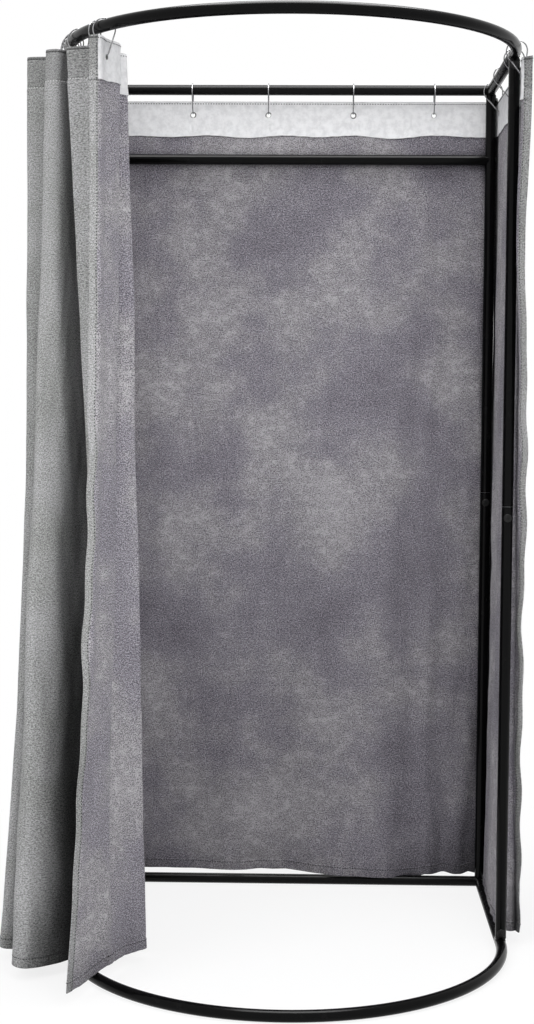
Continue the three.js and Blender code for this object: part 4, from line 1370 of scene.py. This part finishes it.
@dataclass
class Curtain:
    """The curtain: its panels, stitches, eyelets and hooks."""

    finishes: Finishes
    shape: HookShape = field(default_factory=HookShape)
    sewing: Sewing = field(default_factory=Sewing)
    hole_radius: float = 6.4
    stitch_lift: float = 0.2
    eyelet_room: float = 9.0
    rim: float = 0.75
    eyelets: dict[str, list[tuple[Array, Array]]] = field(default_factory=dict)

    def __post_init__(self) -> None:
        """Builds the recipes."""
        self.stitches = stitch_recipe(self.finishes.thread)
        self.band_stitches = stitch_recipe(self.finishes.pale_thread)
        self.wire = wire_recipe(self.finishes.wire)

    def runs(self) -> list[Run]:
        """The five runs of the cloth, in order from the gathered leading edge."""
        left_length, right_length = SIDE_LENGTH - LEFT_FRONT, SIDE_LENGTH - RIGHT_FRONT
        rear_start = left_length + CORNER_TURN
        right_start = rear_start + RAIL_SPAN + 2 * CORNER_TURN
        short_start = right_start + right_length + CORNER_TURN
        back_left, back_right = np.array([-HALF_SPAN, 0]), np.array([HALF_SPAN, 0])
        gather = Run(
            "curtain_gathered_end", fold_surface(GATHER_FOLDS, -1),
            lambda place: rail_place(FoldTable(GATHER_FOLDS).at(place)[0], -1), (0, 1400), 1400, 0, 1, -1, 5.0,
            cuts=tuple(sorted(GATHER_HOOKS)), lead=0.0,
            hooks={f"hook_gather_{i + 1}": place for i, place in enumerate(GATHER_HOOKS)},
        )
        left = Run(
            "curtain_left_wall",
            wall_surface(back_left, np.array([-HALF_SPAN, -left_length]), np.array([-1.0, 0]), LEFT_HEM),
            lambda place: rail_place(place - SIDE_LENGTH, -1),
            (-CORNER_TURN, left_length), left_length, 0, -1, 1, 7.0,
            hooks={"hook_left_1": SIDE_LENGTH - 118, "hook_left_2": SIDE_LENGTH - 323},
        )
        rear = Run(
            "curtain_rear_wall", wall_surface(back_left, back_right, np.array([0, 1.0]), REAR_HEM),
            lambda place: (np.array([place - HALF_SPAN, 0.0]), np.array([1.0, 0.0]), np.array([0.0, 1.0])),
            (-CORNER_TURN, RAIL_SPAN + CORNER_TURN), -CORNER_TURN, rear_start, 1, -1, 7.0, hem_lift=REAR_LIFT,
            hooks={f"hook_rear_{i + 1}": HALF_SPAN + x for i, x in enumerate((-456, -251, -64, 145, 344))},
        )
        right = Run(
            "curtain_right_wall",
            wall_surface(np.array([HALF_SPAN, -right_length]), back_right, np.array([1.0, 0]), RIGHT_HEM),
            lambda place: rail_place(-place - RIGHT_FRONT, 1),
            (0, right_length + CORNER_TURN), right_length + CORNER_TURN, right_start, -1, 1, 7.0,
            hooks={"hook_right_1": 249 - RIGHT_FRONT, "hook_right_2": 475 - RIGHT_FRONT},
        )
        short = Run(
            "curtain_short_end", fold_surface(SHORT_FOLDS, 1),
            lambda place: rail_place(FoldTable(SHORT_FOLDS).at(place)[0], 1), (0, 226), 0, short_start, 1, -1, 4.5,
            hooks=dict(zip(("hook_right_front", "hook_right_lead"), SHORT_HOOKS)),
            lead=226.0, lead_way=-1, pull=11.0,
        )
        return [gather, left, rear, right, short]

    @staticmethod
    def normals(grid: Array) -> Array:
        """Unit normals of a grid of points, towards the right of a walk along its rows."""
        return unit(np.cross(np.gradient(grid, axis=0), np.gradient(grid, axis=1)))

    def layers(self, run: Run) -> Layers:
        """Lays out both faces of a run, with its holes, hems and heading."""
        sew = self.sewing
        places, drops = run.columns(), sew.drops()
        grid_place, grid_drop = place, drop = np.meshgrid(places, drops)
        drop = sew.shift(run.along(place), drop)
        drop[0], drop[-1] = 0.0, CLOTH_HEIGHT
        in_hole = np.zeros(place.shape, bool)
        for name, hung in run.hung.items():
            at, centre, stretch = run.hooks[name], CLOTH_TOP - hung.eyelet[2], run.stretch(run.hooks[name])
            across, down = (place - at) * stretch, drop - centre
            distance = np.hypot(across, down)
            within = distance < self.hole_radius
            in_hole |= within
            push = np.where(within & (distance > 0.05), self.hole_radius / np.maximum(distance, 0.05), 1.0)
            place = np.where(within, at + across * push / stretch, place)
            drop = np.where(within, centre + down * push, drop)
        keep = ~(in_hole[:-1, :-1] & in_hole[1:, :-1] & in_hole[:-1, 1:] & in_hole[1:, 1:])
        along = run.along(place)
        middle = run.surface(place, drop / CLOTH_HEIGHT)
        normal = self.normals(middle) * run.outside
        waves = sew.height(along, drop)
        if run.lead is not None:
            flutter = sew.flutter((place - run.lead) * run.lead_way, drop)[..., None]
            middle = middle + (sew.edge_tilt * normal + unit(np.gradient(middle, axis=1))) * flutter
            pull = run.pull * bell(drop - sew.pull_at, sew.pull_reach) * bell(place - run.lead, sew.pull_width)
            middle[..., 0] -= pull
        middle = middle + normal * waves[..., None]
        lift = np.interp(place, *np.array(run.hem_lift, float).T)
        middle[..., 2] += lift * rise(drop, CLOTH_HEIGHT - sew.lift_reach, CLOTH_HEIGHT)
        normal = self.normals(middle) * run.outside
        tape, hem = grid_drop <= sew.band, grid_drop >= sew.bottom_hem
        extra, groove = sew.lining(along, grid_drop), sew.grooves(grid_drop)
        if run.lead is not None:
            from_edge = (grid_place - run.lead) * run.lead_way
            side = from_edge <= sew.side_hem
            hem = hem | side
            tucks = sum(bell(grid_drop - at, sew.tuck_width) for at in sew.tuck_drops)
            extra += side * (sew.hem_thickness - sew.tuck * tucks * rise(from_edge, 0.5, 6.0))
            groove += bell(from_edge - sew.side_seam, sew.groove_width)
        half = CLOTH_THICKNESS / 2
        outer = middle + normal * (half - sew.groove * groove)[..., None]
        inner = middle - normal * (half + extra - sew.groove * groove * ~tape)[..., None]
        return Layers(places, drops, along, outer, inner, self.normals(outer) * run.outside,
                      -self.normals(inner) * run.outside, keep, tape, hem)

    def panel(self, run: Run, layers: Layers, part: slice, name: str) -> Object:
        """Makes one panel of a run as a closed shell, with its shading normals and its map in metres of cloth.

        Args:
            run: The run.
            layers: Its layers.
            part: The panel's columns.
            name: Name of the piece.

        Returns:
            The object.
        """
        outer, inner = layers.outer[:, part], layers.inner[:, part]
        hem, tape, places = layers.hem[:, part], layers.tape[:, part], layers.places[part]
        rows, columns = outer.shape[:2]
        count = rows * columns
        keep = layers.open[:, part.start:part.stop - 1]
        number = np.arange(count).reshape(rows, columns)
        quads = np.stack([number[:-1, :-1], number[1:, :-1], number[1:, 1:], number[:-1, 1:]], -1)[keep]
        if run.outside < 0:
            quads = quads[:, ::-1]
        hem_quads = hem[:-1, :-1] & hem[1:, :-1] & hem[:-1, 1:] & hem[1:, 1:]
        lining = np.where(tape[:-1, :-1] & tape[1:, :-1] & ~hem_quads, ON_BAND, ON_INSIDE)
        if run.lead is not None:
            lining[:, np.abs((places[:-1] + places[1:]) / 2 - run.lead) < self.sewing.side_hem] = ON_OUTSIDE
        edges = np.concatenate([quads[:, [i, (i + 1) % 4]] for i in range(4)])
        back = edges[:, 1] * count + edges[:, 0]
        i, j = edges[~np.isin(edges[:, 0] * count + edges[:, 1], back)].T
        middle = (outer + inner) / 2
        away = np.zeros((rows, columns, 3))
        away[0] += unit(middle[0] - middle[1])
        away[-1] += unit(middle[-1] - middle[-2])
        if places[0] == run.lead:
            away[:, 0] += unit(middle[:, 0] - middle[:, 1])
        if places[-1] == run.lead:
            away[:, -1] += unit(middle[:, -1] - middle[:, -2])
        rim_at = np.unique([i, j])
        rim = np.full(count, -1)
        rim[rim_at] = 2 * count + np.arange(len(rim_at))
        rims = np.concatenate([
            np.stack([j, i, rim[i], rim[j]], 1), np.stack([rim[j], rim[i], i + count, j + count], 1),
        ])
        rim_points = (middle + away * self.rim).reshape(-1, 3)[rim_at]
        points = np.concatenate([outer.reshape(-1, 3), inner.reshape(-1, 3), rim_points])
        normals = np.concatenate([
            layers.outer_normal[:, part].reshape(-1, 3), layers.inner_normal[:, part].reshape(-1, 3),
            unit(away.reshape(-1, 3)[rim_at] + 1e-6),
        ])
        chart = np.stack([layers.along[:, part], -np.broadcast_to(layers.drops[:, None], (rows, columns))], -1)
        chart = chart.reshape(-1, 2) * MM
        chart = np.concatenate([chart, chart, chart[rim_at]])
        faces = np.concatenate([quads, quads[:, ::-1] + count, rims])
        material = [np.full(len(quads), ON_OUTSIDE), lining[keep], np.full(len(rims), ON_OUTSIDE)]
        used = np.unique(faces)
        renumber = np.full(len(points), -1)
        renumber[used] = np.arange(len(used))
        # The gathered end's inside takes the lighter copy of the inside cloth, which is painted light.
        inside = self.finishes.turned if run.name == "curtain_gathered_end" else self.finishes.inside
        finishes = [self.finishes.outside, inside, self.finishes.band]
        piece = add_mesh(name, points[used], [], renumber[faces].tolist(), finishes)
        mesh = piece.data
        mesh.polygons.foreach_set("material_index", np.concatenate(material).astype(np.int32))
        mesh.shade_smooth()
        layer = mesh.uv_layers.new(name="cloth")
        corners = np.empty(len(mesh.loops), np.int32)
        mesh.loops.foreach_get("vertex_index", corners)
        layer.data.foreach_set("uv", chart[used][corners].astype(np.float32).ravel())
        mesh.normals_split_custom_set_from_vertices(unit(normals[used]).tolist())
        return piece

    def seams(self, run: Run, layers: Layers, part: slice) -> tuple[list[Array], list[Array]]:
        """Seam lines of a panel: those on both of its faces, and the band's on the outer one."""
        sew = self.sewing
        outer, inner = (face + normal * self.stitch_lift for face, normal in (
            (layers.outer, layers.outer_normal), (layers.inner, layers.inner_normal)))
        made = []
        for face in (outer, inner):
            made += [face[layers.row(drop), part] for drop in (sew.top_seam, sew.bottom_seam)]
            if run.lead is not None:
                column = layers.column(run.lead + run.lead_way * sew.side_seam)
                if part.start <= column < part.stop:
                    made.append(face[2:-1, column])
        return made, [outer[layers.row(sew.band_seam), part]]

    def sew(self, run: Run, layers: Layers, part: slice, name: str, bodies: tuple[str, ...],
            zone: tuple[Array, Array] | None = None) -> Object:
        """Args:
            run: Its run.
            layers: The run's layers.
            part: The panel's columns.
            name: Name of the piece.
            bodies: One body to ride on; with two, the panel and its stitches are left in place on no body.
            zone: Points in metres of a bend line, or None to find them from its edges; they are worked out but not
                used.

        Returns:
            The panel.
        """
        piece = self.panel(run, layers, part, name)
        label = name.removeprefix("curtain_")
        dark, pale = self.seams(run, layers, part)
        sewn = [self.stitches.run(guide(dark), f"stitches_{label}"),
                self.band_stitches.run(guide(pale), f"band_stitches_{label}")]
        if len(bodies) == 2:
            start, end = zone or self.hinge_line(layers, part)
        for each in (piece, *sewn):
            if len(bodies) == 1:
                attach(each, bodies[0])
            else:
                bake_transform(each)
        return piece

    @staticmethod
    def hinge_line(layers: Layers, part: slice) -> tuple[Array, Array]:
        """Finds the direction in plan in which a panel's two edges lie furthest apart.

        Args:
            layers: The run's layers.
            part: The panel's columns, of which the last is nearest to the frame.

        Returns:
            Points in metres on that direction at the panel's two edges, the nearer to the frame first.
        """
        near, far = (np.concatenate([layers.outer[:, column], layers.inner[:, column]])[:, :2]
                     for column in (part.stop - 1, part.start))
        angles = np.radians(np.arange(0, 360, 0.5))
        ways = np.stack([np.cos(angles), np.sin(angles)])
        starts, ends = (near @ ways).max(0), (far @ ways).min(0)
        best = int(np.argmax(ends - starts))
        log.info("%.1f mm to bend in", ends[best] - starts[best])
        way = np.array([*ways[:, best], 0.0])
        return way * starts[best] * MM, way * ends[best] * MM

    def build(self) -> None:
        """Builds the cloth, its stitches, the eyelets and the hooks."""
        for run in self.runs():
            for name, place in run.hooks.items():
                run.hung[name] = hang_hook(self.shape, run.surface, place, run.rail(place))
            layers = self.layers(run)
            if run.name == "curtain_gathered_end":
                piece = self.gathered(run, layers)
            elif run.name == "curtain_short_end":
                piece = self.short_end(run, layers)
            else:
                whole = slice(0, len(layers.places))
                piece = self.sew(run, layers, whole, f"{run.name}_cloth", (Body.FRAME.value,))
            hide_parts(run.name)
            self.hooks(run)
        self.set_eyelets()

    def gathered(self, run: Run, layers: Layers) -> Object:
        """Cuts the gathered end at its hooks into panels, and returns the first."""
        marks = [layers.column(place) for place in (run.ends[0], *run.cuts, run.ends[1])]
        bodies = [body.value for body in Body if body is not Body.SHORT_LEAD]
        held = [(bodies[0],), *zip(bodies[1:], bodies), (bodies[-1],)]
        pieces = [self.sew(run, layers, slice(first, last + 1), f"curtain_gather_{i + 1}", pair)
                  for i, (first, last, pair) in enumerate(zip(marks, marks[1:], held))]
        return pieces[0]

    def short_end(self, run: Run, layers: Layers) -> Object:
        """Makes the short end; a line from its still hook towards its moving one, leaning down to the wall's lower
        corner, is worked out but not used.
        """
        still, moving = (run.hung[name].eyelet for name in run.hooks)
        reach = (moving - still) * (1, 1, 0)
        inset = unit(reach) * self.eyelet_room
        start = still + inset
        corner = layers.inner[-1, 0] - start
        lean = unit(reach) - UP * (unit(reach) @ corner / corner[2])
        end = start + lean * np.linalg.norm(reach - 2 * inset) / (lean @ lean)
        bodies = (Body.FRAME.value, Body.SHORT_LEAD.value)
        whole = slice(0, len(layers.places))
        return self.sew(run, layers, whole, f"{run.name}_cloth", bodies, (start * MM, end * MM))

    def hooks(self, run: Run) -> None:
        """Builds a run's hooks and notes their eyelets, with the direction out of the cloth at each."""
        for name, hung in run.hung.items():
            piece = self.wire.run(guide([hung.line(*self.shape.wire_steps)], closed=True), f"{name}_wire")
            body = next(b for b, nodes in frame["record"]["behaviour"]["bodies"].items() if name in nodes)
            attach(piece, body)
            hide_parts(name)
            fall = (CLOTH_TOP - hung.eyelet[2]) / CLOTH_HEIGHT
            axis = right_of(run.surface, run.hooks[name], fall) * run.outside
            self.eyelets.setdefault(body, []).append((hung.eyelet, axis))
            log.info("%s rides on %s", piece.name, body)

    def set_eyelets(self) -> None:
        """Builds the eyelets, one piece for each body."""
        out, into = CLOTH_THICKNESS / 2, -CLOTH_THICKNESS / 2 - self.sewing.band_thickness
        section = np.array([
            (0.0, out + 0.35), (0.5, out + 0.9), (1.5, out + 1.05), (2.6, out + 0.75), (3.2, out + 0.1),
            (1.6, out + 0.1), (1.1, out - 0.3), (1.1, into + 0.3), (1.6, into - 0.1), (3.2, into - 0.1),
            (2.6, into - 0.65), (1.5, into - 0.9), (0.5, into - 0.8), (0.0, into - 0.3),
        ])
        profile = guide([np.pad(section, ((0, 0), (0, 1)))], closed=True)
        recipe = eyelet_recipe(self.finishes.eyelet, profile)
        for body, spots in self.eyelets.items():
            centres, axes = zip(*spots)
            piece = recipe.run(guide([np.array([centre]) for centre in centres], axes), f"eyelets_{body}")
            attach(piece, body)
            log.info("%s holds %d eyelets", piece.name, len(spots))
        bpy.data.objects.remove(profile)


# Studio


@dataclass
class Studio:
    """Camera, soft light, pale floor and white background."""

    eye: Triple = (0.04291, -4.46436, 1.27718)
    yaw: float = math.radians(1.3426)
    pitch: float = math.radians(-4.2329)
    roll: float = math.radians(-0.3417)
    lens: float = 62.87
    sensor: float = 36.0
    far_clip: float = 200.0
    floor_half: float = 30.0
    floor_drop: float = 0.0004
    paper: Triple = (0.9, 0.9, 0.905)
    sky: Triple = (0.98, 0.99, 1.0)
    white: Triple = (1.0, 1.0, 1.0)
    floor_shift: Triple = (0.0, 0.5, 0.0)
    floor_fade: Triple = (0.55, 1.5, 0.82)
    sky_fade: tuple[float, ...] = (0.1, 0.95, 0.05, 0.85)

    def camera(self) -> None:
        """Sets the camera where the photograph was taken from."""
        data = bpy.data.cameras.new("camera")
        data.lens = self.lens
        data.sensor_width = self.sensor
        data.clip_end = self.far_clip
        camera = in_scene("camera", data)
        camera.matrix_world = Matrix.Translation(self.eye)
        for angle, axis in ((self.yaw, "Z"), (self.pitch, "X"), (self.roll, "Y"), (math.pi / 2, "X")):
            camera.matrix_world = camera.matrix_world @ Matrix.Rotation(angle, 4, axis)
        bpy.context.scene.camera = camera

    @staticmethod
    def shown(nodes: Nodes) -> Socket:
        """One for the rays that show the background: those of the camera, of gloss and of glass."""
        path = nodes.node("ShaderNodeLightPath").outputs
        either = nodes.maths("MAXIMUM", path["Is Camera Ray"], path["Is Glossy Ray"])
        return nodes.maths("MAXIMUM", either, path["Is Transmission Ray"])

    def floor(self) -> None:
        """Lays a pale floor that fades to white away from the object."""
        half, low = self.floor_half / MM, -self.floor_drop / MM
        corners = np.array([(-half, -half, low), (half, -half, low), (half, half, low), (-half, half, low)])
        material = bpy.data.materials.new("floor_paper")
        material.use_nodes = True
        nodes = Nodes(material.node_tree)
        nodes.tree.nodes.clear()
        place = nodes.out("ShaderNodeTexCoord", which="Object")
        centre = nodes.out("ShaderNodeMapping", {0: place, "Location": self.floor_shift})
        length = nodes.out("ShaderNodeVectorMath", {0: centre}, "Value", operation="LENGTH")
        white_share = nodes.maths("MULTIPLY", self.shown(nodes), nodes.ramp(length, *self.floor_fade))
        paper = nodes.out("ShaderNodeBsdfDiffuse", {"Color": (*self.paper, 1.0)})
        white = nodes.out("ShaderNodeEmission")
        mix = nodes.out("ShaderNodeMixShader", {0: white_share, 1: paper, 2: white})
        nodes.node("ShaderNodeOutputMaterial", {"Surface": mix})
        add_mesh("floor", corners, [], [(0, 1, 2, 3)], [material])

    def world(self) -> None:
        """Surrounds the scene with light that comes mostly from above, and with white where it is seen."""
        world = bpy.data.worlds.new("studio")
        bpy.context.scene.world = world
        world.use_nodes = True
        nodes = Nodes(world.node_tree)
        nodes.tree.nodes.clear()
        way = nodes.out("ShaderNodeTexCoord", which="Generated")
        height = nodes.out("ShaderNodeSeparateXYZ", {0: way}, "Z")
        strength = nodes.ramp(height, *self.sky_fade)
        soft = nodes.out("ShaderNodeBackground", {"Color": (*self.sky, 1.0), "Strength": strength})
        white = nodes.out("ShaderNodeBackground", {"Color": (*self.white, 1.0)})
        mix = nodes.out("ShaderNodeMixShader", {0: self.shown(nodes), 1: soft, 2: white})
        nodes.node("ShaderNodeOutputWorld", {"Surface": mix})

    @staticmethod
    def lamp(name: str, place: Triple, aim: Triple, size: float, power: float, reach: Reach,
             spread: float = 180.0) -> None:
        """Adds a square soft lamp.

        Args:
            name: Name of the lamp.
            place: Where it stands, in metres.
            aim: Point it faces.
            size: Width of the lamp.
            power: Its power in watts.
            reach: What the lamp lights.
            spread: Angle of its beam in degrees.
        """
        data = bpy.data.lights.new(name, "AREA")
        data.shape = "SQUARE"
        data.size = size
        data.energy = power
        data.spread = math.radians(spread)
        lamp = in_scene(name, data)
        lamp.location = place
        lamp.visible_glossy = reach is Reach.GLOSS
        lamp.visible_diffuse = reach is Reach.MATT
        lamp.rotation_mode = "QUATERNION"
        lamp.rotation_quaternion = (Vector(aim) - Vector(place)).to_track_quat("-Z", "Y")

    def build(self) -> None:
        """Sets up the studio."""
        self.camera()
        self.floor()
        self.world()
        self.lamp("overhead", (0.2, -0.9, 4.4), (0, -0.45, 1.0), 2.6, 76.0, Reach.MATT)
        self.lamp("front_left", (-2.9, -4.0, 3.0), (0, -0.4, 1.2), 2.2, 118.0, Reach.MATT)
        self.lamp("front_right", (1.9, -4.6, 2.6), (-0.2, -0.4, 1.1), 2.2, 62.0, Reach.MATT)
        self.lamp("doorway", (0.0, -4.6, 1.9), (-0.03, 0, 1.25), 0.9, 0.7, Reach.MATT, 16.0)
        self.lamp("bunch", (0.6, -4.4, 1.3), (-0.42, -0.8, 1.0), 1.0, 0.42, Reach.MATT, 20.0)
        self.lamp("gleam", (0.1, -0.6, 4.4), (0, -0.6, 1.0), 2.6, 280.0, Reach.GLOSS)
        bpy.context.scene.view_settings.view_transform = "Standard"


def main() -> None:
    """Builds the studio and every sub-assembly."""
    logging.basicConfig(level=logging.INFO, format="%(message)s")
    Studio().build()
    finishes = Finishes()
    TubeFrame(finishes).build()
    Bolts(finishes).build()
    Curtain(finishes).build()
    for name, node in frame["nodes"].items():
        if not node.hide_render:
            log.info("%s is shown as its solid", name)


if __name__ == "__main__":
    main()
